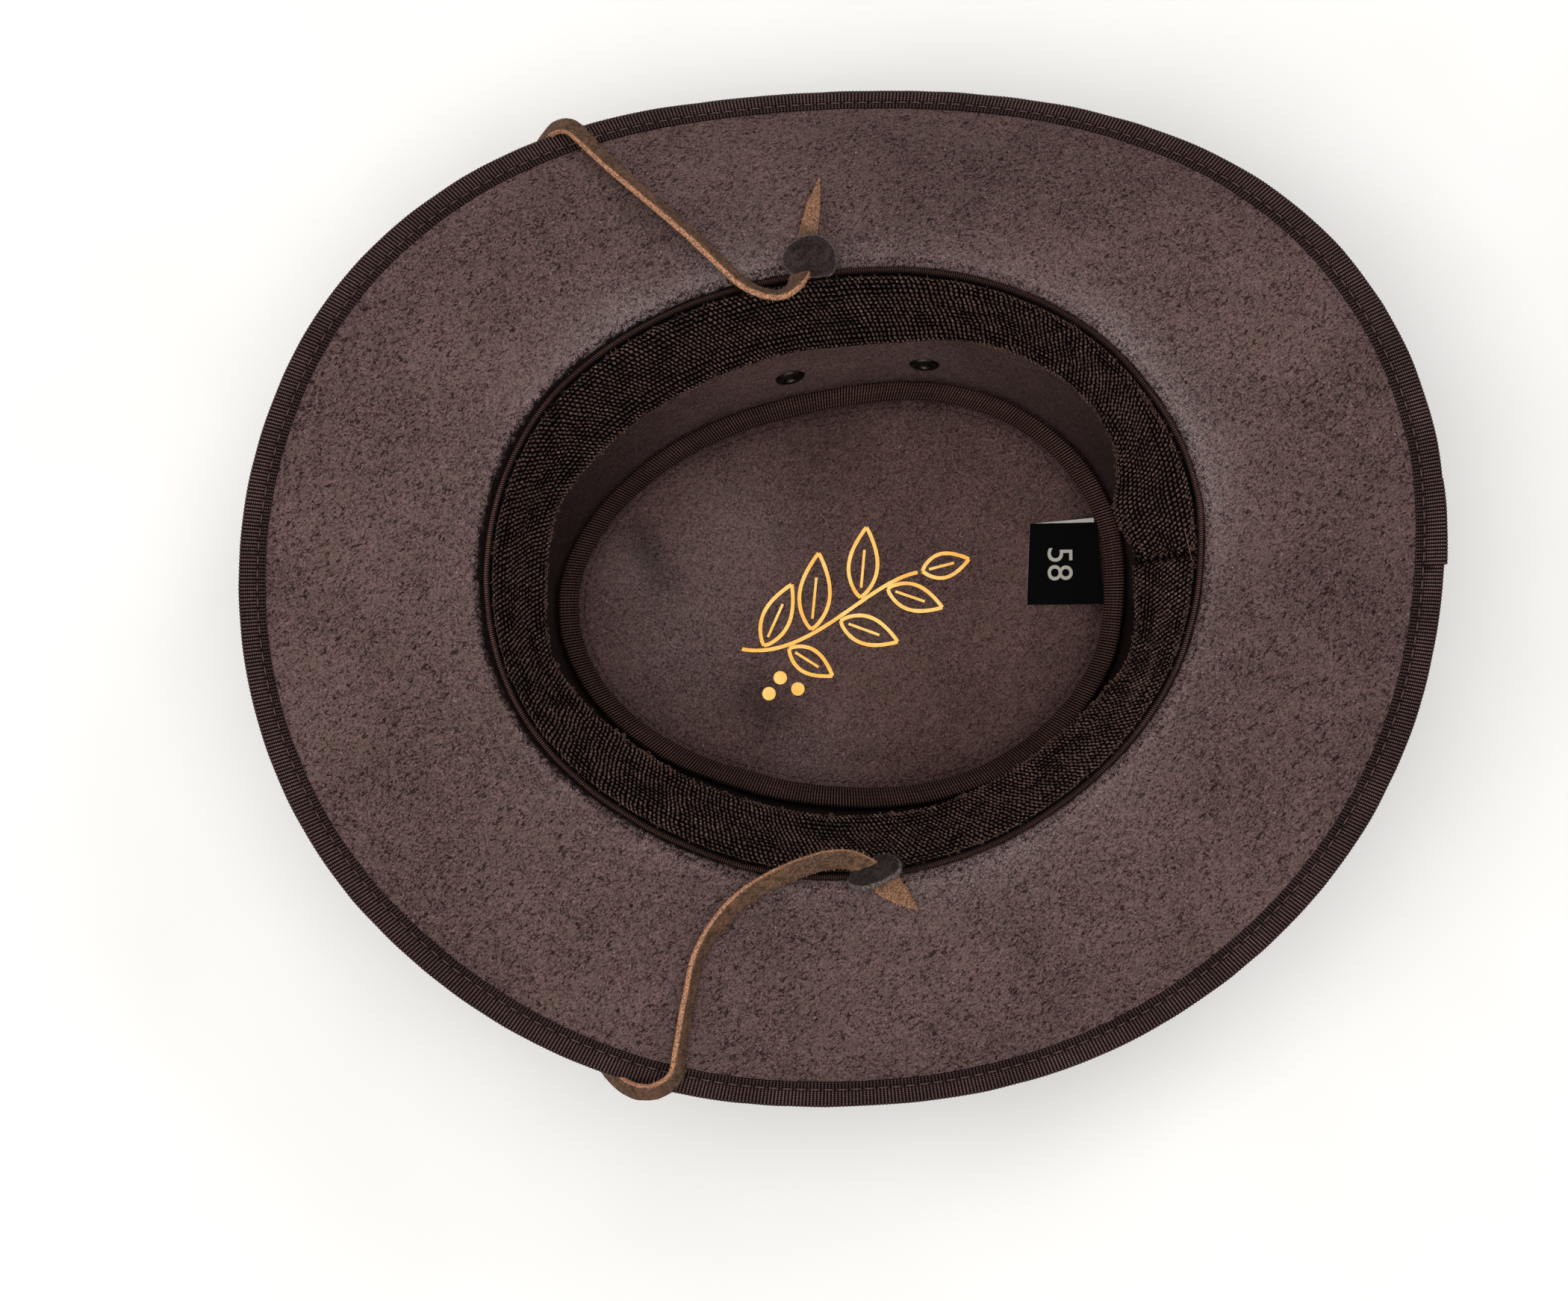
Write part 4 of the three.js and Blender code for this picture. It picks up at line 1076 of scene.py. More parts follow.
class HAT_OT_binding(bpy.types.Operator):
    """Adds the corded ribbon round the brim's edge, with its stitches and lap"""

    bl_idname = "hat.binding"
    bl_label = "Brim binding"

    # The ribbon's section: distance out from its inner edge and height over the leather, in millimetres.
    # The low place near the inner edge is where the stitches draw it down.
    OUTER = [
        (8.4, -0.7), (8.25, 0.1), (7.8, 0.72), (7.0, 1.05), (5.9, 1.18), (4.8, 1.16), (3.8, 1.06),
        (3.0, 0.86), (2.45, 0.5), (2.05, 0.42), (1.6, 0.6), (1.0, 0.76), (0.4, 0.7), (0.0, 0.45),
    ]
    INNER = [(0.02, 0.12), (7.2, 0.12), (7.2, -1.92), (0.1, -1.92)]
    UNDER = [(0.0, -2.4), (3.2, -2.75), (6.4, -2.7), (7.6, -2.3), (8.2, -1.6)]
    STITCH_LINE = (2.25, 0.6)
    STITCH_GAP = 1.1 * MM

    def execute(self, context):
        sections = read_sections("brim", (2, 1))
        per_rib = 3
        turns = even_turns(sections[:, 0], pitch=sizes().rib_pitch, per_pitch=per_rib)
        flat = at_turns(sections, turns)
        count = len(turns)
        angles = np.degrees(turns)
        lapped = (angles > BINDING_LAP[0]) & (angles < BINDING_LAP[1])
        taper = np.clip((BINDING_LAP[1] - angles) / (BINDING_LAP[1] - BINDING_LAP[0]), 0, 1) ** 0.4
        proud = np.where(lapped, 0.8 * taper, 0)[:, None]

        profile = np.array(self.OUTER + self.INNER + self.UNDER)
        covered = np.repeat([1.0, 0.0, 1.0], [len(self.OUTER), len(self.INNER), len(self.UNDER)])
        beyond = np.clip((profile[:, 0] - 6.5) / 2, 0, 1)
        above = np.sign(profile[:, 1] + 0.9) * (profile[:, 0] > 2.6)
        away = profile[None] + proud[..., None] * covered[None, :, None] * np.stack([beyond, above], -1)
        away[..., 0] += self.narrowing(turns)[:, None] * np.clip((4.5 - profile[:, 0]) / 2.5, 0, 1)[None]
        grid = self.on_leather(flat, turns, away)
        rib = np.abs(np.sin(np.pi * np.arange(count) / per_rib))[:, None]
        pinch = 1 - 0.6 * bump_at(profile[:, 0], self.STITCH_LINE[0], 0.5)
        lift = (rib - 0.5) * 0.2 * MM * covered * pinch
        slack = noise_at(grid, 9 * MM, seed=6.0) * 0.12 * MM * covered
        grid = grid + grid_normals(grid) * (lift + slack)[..., None]
        piece = ring_piece("brim_ribbon", grid, np.arange(count + 1) / per_rib, widths_across(grid))
        # The attribute shade holds painted shade in the stitched groove and at the gap of the lap's cut end;
        # the strip inside the stitching is darker too.
        seam = bump_at(profile[:, 0], self.STITCH_LINE[0], 0.55)[None] * (profile[:, 1] > 0)
        end = bump_at(angles, BINDING_LAP[0] - 0.35, 0.3)[:, None] * bump_at(profile[:, 0], 3.6, 1.3)[None]
        strip = 0.45 * (profile[:, 0] < 2)[None]
        set_attribute(piece, "shade", np.clip(np.maximum(0.75 * seam, strip) + 0.95 * end, 0, 1))
        material = ribbed_material(
            "Corded ribbon", colours().ribbon, colours().ribbon_groove_shade,
            yarn=0.6, dots=0.1, sheen_tint=linear("8a7268"),
        )
        finish_piece(piece, material, "grosgrain_ribbon", "brim_binding", smooth=80)
        self.stitching(flat[::per_rib], turns[::per_rib])
        return {"FINISHED"}

    def stitching(self, flat, turns):
        """The thread that holds the ribbon's inner edge down."""
        spot = np.array(self.STITCH_LINE)[None, None].repeat(len(turns), 0)
        spot[:, 0, 0] += self.narrowing(turns) * (4.5 - self.STITCH_LINE[0]) / 2.5
        line = self.on_leather(flat, turns, spot)[:, 0]
        above = self.on_leather(flat, turns, spot + np.array([0, 1.0]))[:, 0]
        parts = stitches(line, (above - line) / MM, sizes().stitch, self.STITCH_GAP, sizes().thread / 2)
        thread = thread_material("Sewing thread", linear("56443e"), 0.4 * MM)
        finish_piece(joined("brim_stitches", parts), thread, "grosgrain_ribbon")

    def narrowing(self, turns):
        """How far the ribbon's inner edge is sewn outward, in millimetres: more at the hat's front."""
        angles = np.degrees(turns) % 360
        return 1.0 * bump_at(angles, 180, 55) - 0.8 * bump_at(angles, 88, 40)

    def on_leather(self, flat, turns, places):
        """Places over the brim's top face near its edge, given as millimetres out and up."""
        inner = flat[:, 2]
        way = unit(flat[:, 0] - inner)
        up = np.stack([-way[:, 1], way[:, 0]], -1)
        spots = inner[:, None] + MM * (places[..., :1] * way[:, None] + places[..., 1:] * up[:, None])
        return to_space(turns, spots)


class HAT_OT_sweatband(bpy.types.Operator):
    """Adds the woven elastic band, its wrapped cord, and the fringe and loose threads beside it"""

    bl_idname = "hat.sweatband"
    bl_label = "Sweatband"

    def execute(self, context):
        self.band()
        self.cord()
        self.fringe()
        self.loose_threads()
        return {"FINISHED"}

    def band(self):
        """The woven elastic: staggered loops stand out of its face, and its free edge is slack."""
        sections = read_sections("sweatband", (4, 1))
        per_loop, per_row = 4, 2
        turns = even_turns(sections[:, 1], pitch=sizes().weave_pitch, per_pitch=per_loop)
        flat = at_turns(sections, turns)
        width = np.linalg.norm(sections[0, 4] - sections[0, 1])
        rows = round(width / sizes().weave_row)
        front = along(flat[:, 1:5], np.linspace(0, 3, per_row * rows + 1))
        back = along(flat[:, [5, 6, 7, 0]], np.linspace(0, 3, 6))
        grid = to_space(turns, np.concatenate([front, back], axis=1))
        down = np.concatenate([np.linspace(0, 1, front.shape[1]), np.linspace(1, 0, back.shape[1])])[None]
        angles = np.degrees(turns)[:, None]
        angles = np.where(angles > 180, angles - 360, angles)
        fold = 2.4 * bump_at(angles, BAND_PUCKER, 4.2) - 2.0 * bump_at(angles, BAND_JOIN + 0.6, 2.2)
        fold = fold * (0.25 + 0.75 * down)
        slack = noise_at(grid, 16 * MM, seed=3.0) * 0.5
        facing = np.concatenate([np.ones(front.shape[1]), -np.ones(back.shape[1])])[None]
        normals = grid_normals(grid)
        row = rows * down
        loop = np.arange(len(turns))[:, None] / per_loop
        free = np.clip((down - 0.8) / 0.2, 0, 1)
        around = loop + noise_at(grid, 5 * MM, seed=2.0) * (0.3 + 0.4 * free)
        around = around + noise_at(grid, 1.7 * MM, seed=4.0) * 0.22
        across = row + noise_at(grid, 7 * MM, seed=7.0) * (0.2 + 0.3 * free)
        across = across + noise_at(grid, 1.7 * MM, seed=6.0) * 0.22
        grid = grid + normals * (facing * (fold + slack * down) * MM)[..., None]

        knit = np.abs(np.sin(np.pi * (around + across / 2))) ** 0.8
        knit = knit * np.abs(np.sin(np.pi * across)) ** 1.5
        uneven = 1 + 0.3 * noise_at(grid, 2.5 * MM, seed=5.0)
        join = 0.8 * bump_at(angles, BAND_JOIN, 0.4) - 1.2 * bump_at(angles, BAND_JOIN - 0.9, 0.45)
        lift = (knit * uneven - 0.35) * 0.85 * (facing > 0) + join * (facing > 0)
        grid = grid + normals * (lift * MM)[..., None]
        around = np.concatenate([around, around[:1] + len(turns) / per_loop])
        across = np.concatenate([across, across[:1]])
        piece = ring_piece("band_weave", grid, self.closed(around), self.closed(across))
        # Painted shade: a dark line in the dip beside the join, where one end laps over the other.
        set_attribute(piece, "shade", 0.9 * bump_at(angles, BAND_JOIN - 0.9, 0.35) * (facing > 0))
        finish_piece(piece, elastic_material(), "woven_elastic", "sweatband", smooth=80)
        self.loose_loops(grid, normals, front.shape[1])

    def closed(self, table):
        """A table with its first column again at the end."""
        return np.concatenate([table, table[:, :1]], axis=1)

    def cord(self):
        """The cord of the band's edge, wrapped in yarn, which is thicker where its ends meet."""
        sections = read_sections("sweatband_cord", (1, 0))
        middle = sections.mean(axis=1)
        per_wrap, sides = 4, 10
        turns = even_turns(middle, pitch=sizes().cord_pitch, per_pitch=per_wrap)
        centre = at_turns(middle[:, None], turns)
        angles = np.degrees(turns)[:, None]
        joint = bump_at(angles, 10, 3.6)
        place = np.arange(len(turns) + 1)[:, None] / per_wrap + np.arange(sides + 1)[None] / sides
        wrap = np.abs(np.sin(np.pi * place[:-1, :-1]))
        worn_flat = np.cos(turns)[:, None] ** 6
        depth = 0.42 * (1 - 0.6 * np.maximum(joint, worn_flat))
        radius = (0.82 + 0.2 * joint + (wrap - 0.5) * depth) * MM
        around = np.arange(sides) * math.tau / sides
        ring = np.stack([np.cos(around), np.sin(around)], -1)
        grid = to_space(turns, centre + radius[..., None] * ring[None])
        wander = noise_at(grid[:, :1].repeat(sides, 1), 12 * MM, seed=7.0)[..., None] * 0.2 * MM
        grid = grid + wander
        piece = ring_piece("band_cord", grid, place, widths_across(grid))
        # Painted light and shade: only the cord's inner top side is painted lit, more so at the hat's back
        # and front, and the rest is painted dark.
        facing_up = np.clip(np.sin(around + 0.35), 0, 1)[None] ** 2.6
        set_attribute(piece, "shade", np.clip(1 - facing_up * (0.5 + 0.5 * worn_flat), 0, 0.97))
        # Its near-black groove colour is painted shade between the wraps.
        material = ribbed_material(
            "Wrapped cord", colours().cord, linear("050303"), yarn=3.0, dots=0.7, sheen_tint=linear("8a7268")
        )
        finish_piece(piece, material, "woven_elastic", "sweatband_cord", smooth=80)

    def loose_loops(self, grid, normals, seen):
        """Small stray loops that stand out of the weave, mostly at its free edge and beside the join."""
        chance = random.Random(31)
        parts = []
        while len(parts) < BAND_LOOPS:
            station = chance.randrange(grid.shape[0])
            angle = 360 * station / grid.shape[0]
            by_join = min(angle, 360 - angle) < 35
            near_edges = [seen - 2, seen - 4, seen - 7, 2, 3] if by_join else [seen - 2, seen - 3, 2]
            corner = chance.choice(near_edges)
            if not by_join and chance.random() < 0.5:
                continue
            spot, up = grid[station, corner], normals[station, corner]
            side = unit(np.cross(up, random_vector(chance, 1)))
            tall, wide = chance.uniform(0.5, 1.1) * MM, chance.uniform(0.9, 1.9) * MM
            shares = np.linspace(0, 1, 6)[:, None]
            line = spot + up * (tall * np.sin(math.pi * shares) - 0.3 * MM) + side * wide * (shares - 0.5)
            parts.append(tube_parts(line, [0.19 * MM] * 6, [np.cross(up, side)] * 6, 5))
        yarn = thread_material("Loose elastic yarn", linear("4b372f"), 0.5 * MM)
        finish_piece(joined("band_loops", parts), yarn, "woven_elastic")

    def fringe(self):
        """Short dark fibres of the brim's cut edge that lie over its leather beside the cord."""
        sections = read_sections("brim", (2, 1))
        chance = random.Random(21)
        turns = np.array(sorted(chance.uniform(0, math.tau) for _ in range(EDGE_FIBRES)))
        flat = at_turns(sections, turns)
        fibres = []
        for turn, section in zip(turns, flat):
            start = chance.choice([BRIM_ROLL - 1, BRIM_ROLL, BRIM_ROLL, BRIM_ROLL + 1])
            share = chance.uniform(0.9, 1) if start < BRIM_ROLL else chance.uniform(0, 1)
            out, up = section[start] + share * (section[start + 1] - section[start])
            outward = np.array([math.cos(turn), math.sin(turn), 0])
            beside = np.array([-math.sin(turn), math.cos(turn), 0])
            way = outward * chance.uniform(0, 1) + beside * chance.uniform(-1, 1)
            way[2] = chance.uniform(0.0, 0.4)
            root = outward * out + np.array([0, 0, up + 0.2 * MM])
            spread = 0.4 + 0.15 * abs(math.cos(turn)) + 0.65 * max(-math.cos(turn), 0)
            fibres.append((root, way, chance.uniform(0.6, 1.6) * spread * MM))
        dark = thread_material("Dark edge fibres", linear("150e0d"), 0.5 * MM)
        fibre_piece("band_fringe", fibres, EDGE_FIBRE, 22, dark, "woven_elastic")

    def loose_threads(self):
        """The ends of the sewing thread beside the band's join."""
        parts = []
        for places in LOOSE_THREADS:
            line = along(np.array([places]) * MM, np.linspace(0, len(places) - 1, 28))[0]
            parts.append(tube_parts(line, [0.09 * MM] * len(line), [(0, 0, 1)] * len(line), 6))
        thread = thread_material("Pale sewing thread", linear("6d5545"), 0.5 * MM)
        finish_piece(joined("band_threads", parts), thread, "woven_elastic")


class HAT_OT_crown(bpy.types.Operator):
    """Adds the crown's wall and tip, with the topstitching inside the tip's seam"""

    bl_idname = "hat.crown"
    bl_label = "Crown"

    STITCH_INSET = 1.4 * MM
    STITCH_GAP = 0.9 * MM

    def execute(self, context):
        # Painted light: the wall is the same leather as the tip, given lighter colours to make up for the
        # shade it stands in.
        wall = leather_material(
            "Crown wall leather painted lighter", linear("2c1d1d"), linear("8c716e"), linear("5c5044"),
            pores=0.5, raised_nap_and_light=colours().nap_grey, sheen=0.04,
        )
        tip = leather_material(
            "Brushed crown leather", colours().lining_dark, colours().lining_light, linear("4c4238"),
            pores=0.6, raised_nap_and_light=colours().nap_grey, sheen=0.04,
        )
        self.wall(wall)
        self.tip(tip)
        return {"FINISHED"}

    def wall(self, material):
        """The crown's wall, whose inside is painted dark as shadow except on one side, with its eyelets'
        holes.
        """
        sections = read_sections("crown_side", (0, 1))
        turns = even_turns(sections[:, 0], steps=WALL_STEPS)
        places = np.arange(0, sections.shape[1], 1 / 3)
        grid = to_space(turns, along(at_turns(sections, turns), places, closed=True))
        slack = noise_at(grid * np.array([1, 1, 0.5]), 30 * MM, seed=5.0) * 0.22 * MM
        grid = grid + self.outward(turns) * slack[..., None]
        grid[..., 2] = np.maximum(grid[..., 2], 0)
        piece = ring_piece("crown_wall_leather", grid, np.arange(len(turns) + 1), widths_across(grid))
        # Painted shadow: the wall's inside is painted dark except round its lit side, for the shadow that the
        # band's free edge casts.
        lit = bump_at(np.degrees(turns), 98, 56)[:, None]
        inside = np.sum(grid_normals(grid) * self.outward(turns), axis=2) < 0
        set_attribute(piece, "shade_and_dark_patches", inside * np.clip(0.98 - 1.1 * lit, 0.0, 0.98))
        for node in EYELETS:
            centre, axis = eyelet_place(node)
            turn = axis.to_track_quat("Z", "Y").to_euler()
            bpy.ops.mesh.primitive_cylinder_add(
                vertices=32, radius=EYELET_HOLE, depth=PUNCH_DEPTH, location=centre, rotation=turn
            )
            punch = bpy.context.active_object
            cut_away(piece, punch)
            bpy.data.objects.remove(punch)
        finish_piece(piece, material, "split_leather", "crown_side")

    def outward(self, turns):
        """Level directions away from the hat's middle."""
        return np.stack([np.cos(turns), np.sin(turns), np.zeros_like(turns)], -1)[:, None]

    def tip(self, material):
        """The tip: smooth waves and creases inside its seam, and a groove that the topstitching draws."""
        sections = read_sections("crown_tip", (-1, -0.2))
        turns = even_turns(sections[:, 3], steps=TIP_STEPS)
        flat = at_turns(sections, turns)
        centre_low = np.array([0, sections[:, 0, 1].mean()])
        centre_high = np.array([0, sections[:, -1, 1].mean()])
        shares = (np.arange(10) / 10)[1:]
        inner = centre_low + shares[None, :, None] * (flat[:, :1] - centre_low)
        edge = along(flat, np.arange(0, 12.01, 1 / 4))
        outer = centre_high + shares[::-1][None, :, None] * (flat[:, -1:] - centre_high)
        grid = to_space(turns, np.concatenate([inner, edge, outer], axis=1))
        radius = np.linalg.norm(grid[..., :2], axis=2)
        rim = flat[:, 9, 0][:, None]
        free = np.clip((rim - radius) / (9 * MM), 0, 1)
        plan = grid * np.array([1, 1, 0])
        wave = noise_at(plan, 30 * MM, seed=3.0) * 0.9 + noise_at(plan, 12 * MM, seed=6.0) * 0.22
        groove = 0.3 * bump_at(radius, rim - self.STITCH_INSET, 0.5 * MM) * (grid[..., 2] < 6 * MM)
        lift = (np.abs(wave) * free - groove * (np.arange(grid.shape[1]) > 12)[None]) * MM
        grid[..., 2] += lift + hills(grid, TIP_CREASES) * MM * free
        grid[..., 2] = np.maximum(grid[..., 2], 0)
        piece = self.disc(grid)
        # Painted shade: the tip darkens towards the corner at its seam, and at the spots over its creases.
        beside = 0.28 * np.clip((radius - rim + 5 * MM) / (5 * MM), 0, 1)
        shade_and_dark_patches = np.clip(hills(grid, TIP_PAINTED_SHADE) + beside, 0, 0.8)
        set_attribute(piece, "shade_and_dark_patches", np.append(shade_and_dark_patches, [0, 0]))
        # Painted light: the tip's left side is lightened with the raised nap's grey.
        set_attribute(piece, "raised_nap_and_light", np.append(hills(grid, TIP_PAINTED_LIGHT), [0, 0]))
        finish_piece(piece, material, "split_leather", "crown_tip")
        self.topstitch(piece, turns, rim)

    def disc(self, grid):
        """Skins rings from the middle of the underside round the edge to the middle of the top."""
        stations, corners = grid.shape[:2]
        bottom, top = grid[:, 0].mean(axis=0), grid[:, -1].mean(axis=0)
        points = np.concatenate([grid.reshape(-1, 3), [bottom, top]])
        faces = []
        low = stations * corners
        for i in range(stations):
            near, far = i * corners, (i + 1) % stations * corners
            for j in range(corners - 1):
                faces.append((near + j, far + j, far + j + 1, near + j + 1))
            faces.append((low, far, near))
            faces.append((low + 1, near + corners - 1, far + corners - 1))
        return new_mesh("crown_tip_leather", points, faces)

    def topstitch(self, tip, turns, rim):
        """The thread of the tip's seam, beside the tape."""
        line = []
        for turn, out in zip(turns, rim[:, 0] - self.STITCH_INSET):
            line.append(surface_spot(tip, out * math.cos(turn), out * math.sin(turn)))
        ups = np.tile([0.0, 0.0, 1.0], (len(turns), 1))
        parts = stitches(np.array(line), ups, sizes().topstitch, self.STITCH_GAP, 0.15 * MM, rise=0.5)
        thread = thread_material("Dark sewing thread", linear("241a19"), 0.4 * MM)
        finish_piece(joined("tip_stitches", parts), thread, "split_leather")


def surface_spot(piece, x, y):
    """The point on top of a piece at a place in plan."""
    found, spot, _, _ = piece.ray_cast(Vector((x, y, 12 * MM)), Vector((0, 0, -1)))
    if not found:
        raise RuntimeError(f"{piece.name} has no surface at {x:.4f}, {y:.4f}")
    return np.array(spot)


class HAT_OT_print(bpy.types.Operator):
    """Prints a plain leafy sprig on the tip"""

    bl_idname = "hat.print"
    bl_label = "Printed sprig"

    def execute(self, context):
        self.tip = bpy.data.objects["crown_tip_leather"]
        self.parts = []
        self.line([self.stem_spot(t) for t in np.linspace(0, 1, 40)], sizes().print_line)
        for leaf in LEAVES:
            place = leaf["along"]
            ahead = self.stem_spot(place + 0.01) - self.stem_spot(place - 0.01)
            angle = math.atan2(ahead[1], ahead[0]) + leaf["side"] * math.radians(leaf["lean"])
            self.leaf(self.stem_spot(place), angle, leaf)
        for berry in BERRIES:
            self.berry(np.array(berry))
        piece = joined("tip_print", self.parts)
        turned_outward(piece)
        finish_piece(piece, print_material(), "split_leather")
        return {"FINISHED"}

    def stem_spot(self, t):
        """A place along the stem's curve, where t is 0 at its foot and 1 at its top."""
        a, b, c, d = (np.array(p, dtype=float) for p in STEM)
        return (1 - t) ** 3 * a + 3 * (1 - t) ** 2 * t * b + 3 * (1 - t) * t * t * c + t**3 * d

    def leaf(self, base, angle, leaf):
        """A pointed outline with a short midrib, drawn away from the stem."""
        ahead = np.array([math.cos(angle), math.sin(angle)])
        side = np.array([-ahead[1], ahead[0]])
        start = base + ahead * 1.6
        shares = np.linspace(0, 1, 22)[:, None]
        bulge = np.sin(math.pi * shares**0.85) ** 0.9 * leaf["width"] / 2
        for hand in (1, -1):
            self.line(start + ahead * leaf["length"] * shares + side * hand * bulge, sizes().print_line)
        midrib = start + ahead * leaf["length"] * np.linspace(0.14, 0.68, 10)[:, None]
        self.line(midrib, 0.7 * sizes().print_line)

    def berry(self, middle):
        """A flat dot of ink."""
        count = BERRY_SIDES
        angles = np.linspace(0, math.tau, count, endpoint=False)
        rim = [middle + BERRY_RADIUS * np.array([math.cos(a), math.sin(a)]) for a in angles]
        heights = [self.on_tip(p) for p in rim]
        low = [spot - np.array([0, 0, 0.1 * MM]) for spot in heights]
        faces = [tuple(range(count)), tuple(range(2 * count - 1, count - 1, -1))]
        faces += [(i, i + count, (i + 1) % count + count, (i + 1) % count) for i in range(count)]
        self.parts.append((np.array(heights + low), faces))

    def on_tip(self, spot):
        """The place on the ink's top over a spot in plan."""
        return surface_spot(self.tip, spot[0] * MM, spot[1] * MM) + np.array([0, 0, 0.09 * MM])

    def line(self, spots, width):
        """A flat ribbon of ink that follows the leather, with softly uneven edges."""
        spots = np.array(spots)
        ahead = unit(np.gradient(spots, axis=0))
        side = np.stack([-ahead[:, 1], ahead[:, 0]], -1)
        half = width / MM / 2
        drop = np.array([0, 0, INK_DEPTH])
        rows = []
        for spot, across in zip(spots, side):
            wobble = 1 + 0.12 * noise.noise(Vector((spot[0], spot[1], 0)) / 1.4)
            left, right = (self.on_tip(spot + hand * across * half * wobble) for hand in (1, -1))
            rows.append([left, right, right - drop, left - drop])
        self.parts.append((np.array(rows).reshape(-1, 3), capped_faces(len(rows), 4)))


class HAT_OT_tape(bpy.types.Operator):
    """Adds the ribbed tape folded over the tip's seam"""

    bl_idname = "hat.tape"
    bl_label = "Tip tape"

    def execute(self, context):
        sections = read_sections("tip_binding", (0, -1))
        per_rib = 4
        turns = even_turns(sections[:, 8], pitch=sizes().tape_pitch, per_pitch=per_rib)
        flat = at_turns(sections, turns)
        over = along(flat[:, [5, 6, 7, 8, 9, 10, 0]], np.linspace(0, 6, 15))
        under = flat[:, [1, 2, 3, 4]]
        grid = to_space(turns, np.concatenate([over, under], axis=1))
        covered = np.repeat([1.0, 0.0], [over.shape[1], under.shape[1]])
        rib = np.abs(np.sin(np.pi * np.arange(len(turns)) / per_rib))[:, None]
        place = np.arange(grid.shape[1])
        seam = bump_at(place, 8.6, 0.7) + bump_at(place, 10.6, 0.7)
        lift = (rib - 0.5) * 0.24 * covered - 0.16 * seam[None] * covered
        slack = noise_at(grid, 12 * MM, seed=2.0) * 0.22 * covered
        grid = grid + grid_normals(grid) * ((lift + slack) * MM)[..., None]
        around = np.arange(len(turns) + 1) / per_rib
        piece = ring_piece("tip_tape", grid, around, widths_across(grid))
        # Painted shade in the tape's two stitched grooves.
        set_attribute(piece, "shade", np.tile(np.clip(0.35 * seam, 0, 1), len(turns)))
        material = ribbed_material(
            "Ribbed tape", colours().tape, colours().tape_groove_shade,
            yarn=1.15, dots=0.6, sheen_tint=linear("9c8576"),
        )
        finish_piece(piece, material, "twill_tape", "tip_binding", smooth=80)
        return {"FINISHED"}


def eyelet_place(node):
    """The middle and the outward axis of an eyelet in the frame."""
    spots = np.array([v.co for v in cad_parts[node].data.vertices])
    centre = spots.mean(axis=0)
    axis = np.linalg.svd(spots - centre, full_matrices=False)[2][2]
    if axis[:2] @ centre[:2] < 0:
        axis = -axis
    return Vector(centre), Vector(axis)


class HAT_OT_eyelets(bpy.types.Operator):
    """Adds the four rolled vent eyelets"""

    bl_idname = "hat.eyelets"
    bl_label = "Eyelets"

    # Half of the rolled ring's outline: radius and height over the middle of the wall, in millimetres.
    ROLL = [
        (2.2, 0.9), (2.2, 1.75), (2.55, 2.1), (3.2, 2.2), (4.0, 1.95), (4.5, 1.5), (4.6, 1.25),
        (4.3, 1.2), (2.9, 1.2),
    ]

    def execute(self, context):
        material = metal_material()
        outline = self.ROLL + [(radius, -height) for radius, height in reversed(self.ROLL)]
        mesh = bpy.data.meshes.new("eyelet_outline")
        edges = [(i, (i + 1) % len(outline)) for i in range(len(outline))]
        mesh.from_pydata([(radius * MM, 0, height * MM) for radius, height in outline], edges, [])
        for node in EYELETS:
            piece = bpy.data.objects.new(f"{node}_ring", mesh.copy())
            context.scene.collection.objects.link(piece)
            select_only(piece)
            bpy.ops.object.mode_set(mode="EDIT")
            bpy.ops.mesh.select_all(action="SELECT")
            bpy.ops.mesh.spin(steps=40, angle=math.tau, center=(0, 0, 0), axis=(0, 0, 1))
            bpy.ops.mesh.select_all(action="SELECT")
            bpy.ops.mesh.remove_doubles(threshold=MERGE)
            bpy.ops.object.mode_set(mode="OBJECT")
            turned_outward(piece)
            centre, axis = eyelet_place(node)
            turn = axis.to_track_quat("Z", "Y").to_matrix().to_4x4()
            piece.data.transform(Matrix.Translation(centre) @ turn)
            finish_piece(piece, material, "antique_metal", node, smooth=45)
        bpy.data.meshes.remove(mesh)
        return {"FINISHED"}


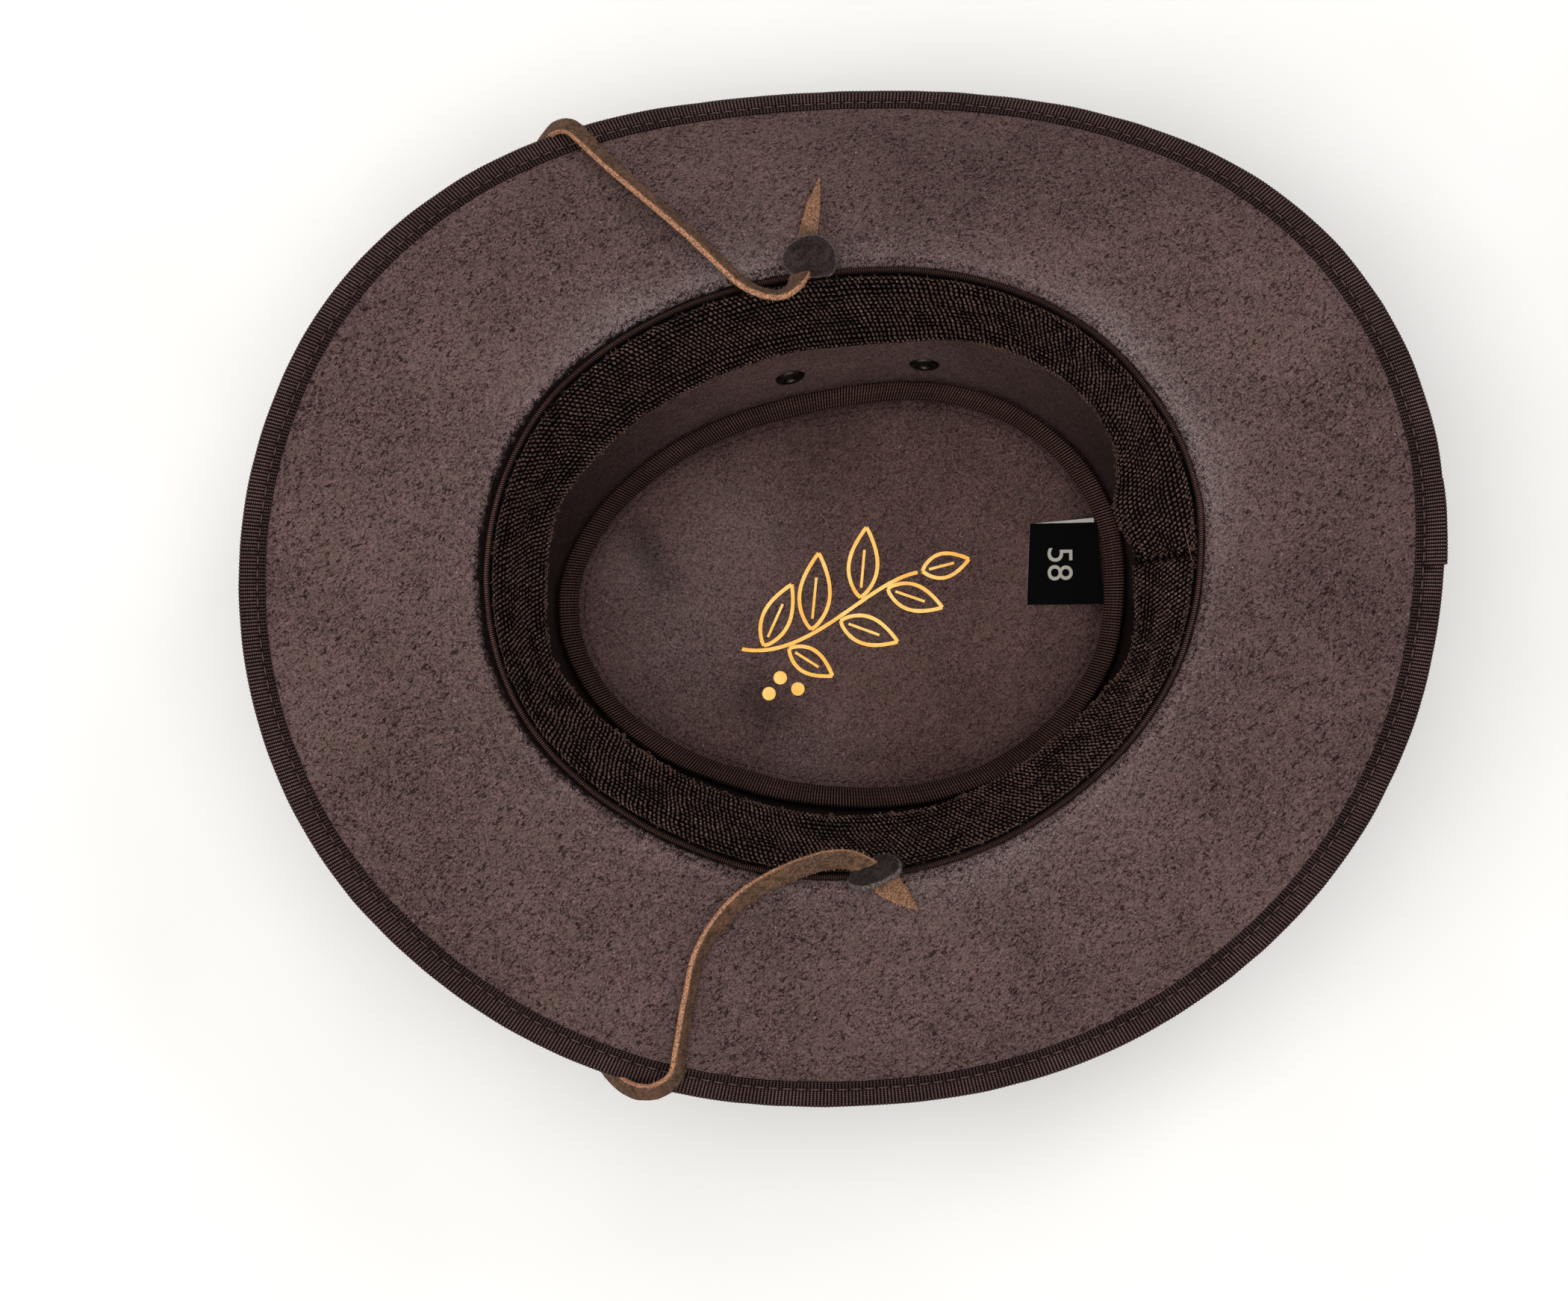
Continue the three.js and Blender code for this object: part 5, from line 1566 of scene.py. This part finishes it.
class HAT_OT_label(bpy.types.Operator):
    """Adds the folded size label"""

    bl_idname = "hat.label"
    bl_label = "Size label"

    COLUMNS = 22
    ROWS = 14
    CLOTH = 0.35 * MM
    RISE = 4 * MM

    def execute(self, context):
        low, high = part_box("label")
        spots = np.array([v.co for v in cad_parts["label"].data.vertices])
        lower = spots[spots[:, 1] < low.y + MM]
        upper = spots[spots[:, 1] > high.y - MM]
        self.ends = {
            low.y: (lower[:, 0].min(), lower[:, 0].max()),
            high.y: (upper[:, 0].min(), upper[:, 0].max()),
        }
        face = self.sheet("label_face", low, high, lift=0.85, skew=0.0, fold=True)
        finish_piece(face, label_material("Woven label", colours().label, 0.004), "label_cloth", "label")
        back = self.sheet("label_back", low, high, lift=0.3, skew=1.5, fold=False)
        finish_piece(back, label_material("Woven label back", colours().label_back, 0.35), "label_cloth")
        self.number(face, low, high)
        return {"FINISHED"}

    def sheet(self, name, low, high, lift, skew, fold):
        """One layer of the label, rising from its fold to the tape."""
        near, far = self.ends[low.y], self.ends[high.y]
        tuck = (1.6 if fold else 0.8) * MM
        points, faces = [], []
        for row in range(self.ROWS + 1):
            across = row / self.ROWS
            y = low.y + across * (high.y - low.y)
            front = near[0] + across * (far[0] + 3.2 * MM - near[0])
            end = near[1] + across * (far[1] - near[1])
            for column in range(self.COLUMNS + 1):
                share = column / self.COLUMNS
                x = front + share * (end + tuck - front)
                z = low.z + self.RISE * ((x - front) / (end - front)) ** 2 + lift * MM
                if fold:
                    z -= 0.55 * MM * math.exp(-((share / 0.03) ** 2))
                z += 0.2 * MM * noise.noise(Vector((x, y, 0)) / (9 * MM)) * share
                drift = skew * MM * share * across
                points.append((x, y + drift, z))
        for row in range(self.ROWS):
            for column in range(self.COLUMNS):
                first = row * (self.COLUMNS + 1) + column
                above = first + self.COLUMNS + 1
                faces.append((first, first + 1, above + 1, above))
        piece = new_mesh(name, points, faces)
        thick = piece.modifiers.new("cloth", "SOLIDIFY")
        thick.thickness = self.CLOTH
        thick.offset = -1
        soft = piece.modifiers.new("soft edge", "BEVEL")
        soft.width = 0.1 * MM
        soft.segments = 2
        apply_modifiers(piece)
        return piece

    def number(self, face, low, high):
        """The hat's size, woven in grey: a plain number."""
        bpy.ops.object.text_add()
        text = bpy.context.active_object
        text.data.body = "58"
        text.data.size = 11 * MM
        text.data.align_x = "CENTER"
        text.data.align_y = "CENTER"
        text.data.extrude = 0.06 * MM
        select_only(text)
        bpy.ops.object.convert(target="MESH")
        number = bpy.context.active_object
        number.name = "label_number"
        middle = Vector(((low.x + high.x) / 2, (low.y + high.y) / 2, 0))
        number.data.transform(Matrix.Translation(middle) @ Matrix.Rotation(-math.pi / 2, 4, "Z"))
        even = number.modifiers.new("even", "TRIANGULATE")
        even.min_vertices = 4
        apply_modifiers(number)
        for vert in number.data.vertices:
            spot = surface_spot(face, vert.co.x, vert.co.y)
            vert.co.z += spot[2] + 0.03 * MM
        finish_piece(number, label_material("Woven grey figure", linear("a9a69d"), 0.3), "label_cloth")


class HAT_PT_panel(bpy.types.Panel):
    """Lists the hat's pieces"""

    bl_label = "Bush hat"
    bl_idname = "HAT_PT_panel"
    bl_space_type = "VIEW_3D"
    bl_region_type = "UI"
    bl_category = "Bush hat"

    def draw(self, context):
        column = self.layout.column()
        for operator in OPERATORS:
            column.operator(operator.bl_idname)
        for group in (context.scene.hat_sizes, context.scene.hat_colours):
            box = self.layout.box()
            for name in group.__annotations__:
                box.prop(group, name)


OPERATORS = (
    HAT_OT_stage,
    HAT_OT_lace,
    HAT_OT_washers,
    HAT_OT_brim,
    HAT_OT_binding,
    HAT_OT_crown,
    HAT_OT_tape,
    HAT_OT_print,
    HAT_OT_eyelets,
    HAT_OT_label,
    HAT_OT_sweatband,
)
CLASSES = (HatSizes, HatColours, *OPERATORS, HAT_PT_panel)


def register():
    for item in CLASSES:
        bpy.utils.register_class(item)
    bpy.types.Scene.hat_sizes = bpy.props.PointerProperty(type=HatSizes)
    bpy.types.Scene.hat_colours = bpy.props.PointerProperty(type=HatColours)


def unregister():
    del bpy.types.Scene.hat_colours
    del bpy.types.Scene.hat_sizes
    for item in reversed(CLASSES):
        bpy.utils.unregister_class(item)


def main():
    register()
    bpy.ops.hat.stage()
    bpy.ops.hat.lace()
    bpy.ops.hat.washers()
    bpy.ops.hat.brim()
    bpy.ops.hat.binding()
    bpy.ops.hat.crown()
    bpy.ops.hat.tape()
    bpy.ops.hat.print()
    bpy.ops.hat.eyelets()
    bpy.ops.hat.label()
    bpy.ops.hat.sweatband()


if __name__ == "__main__":
    main()
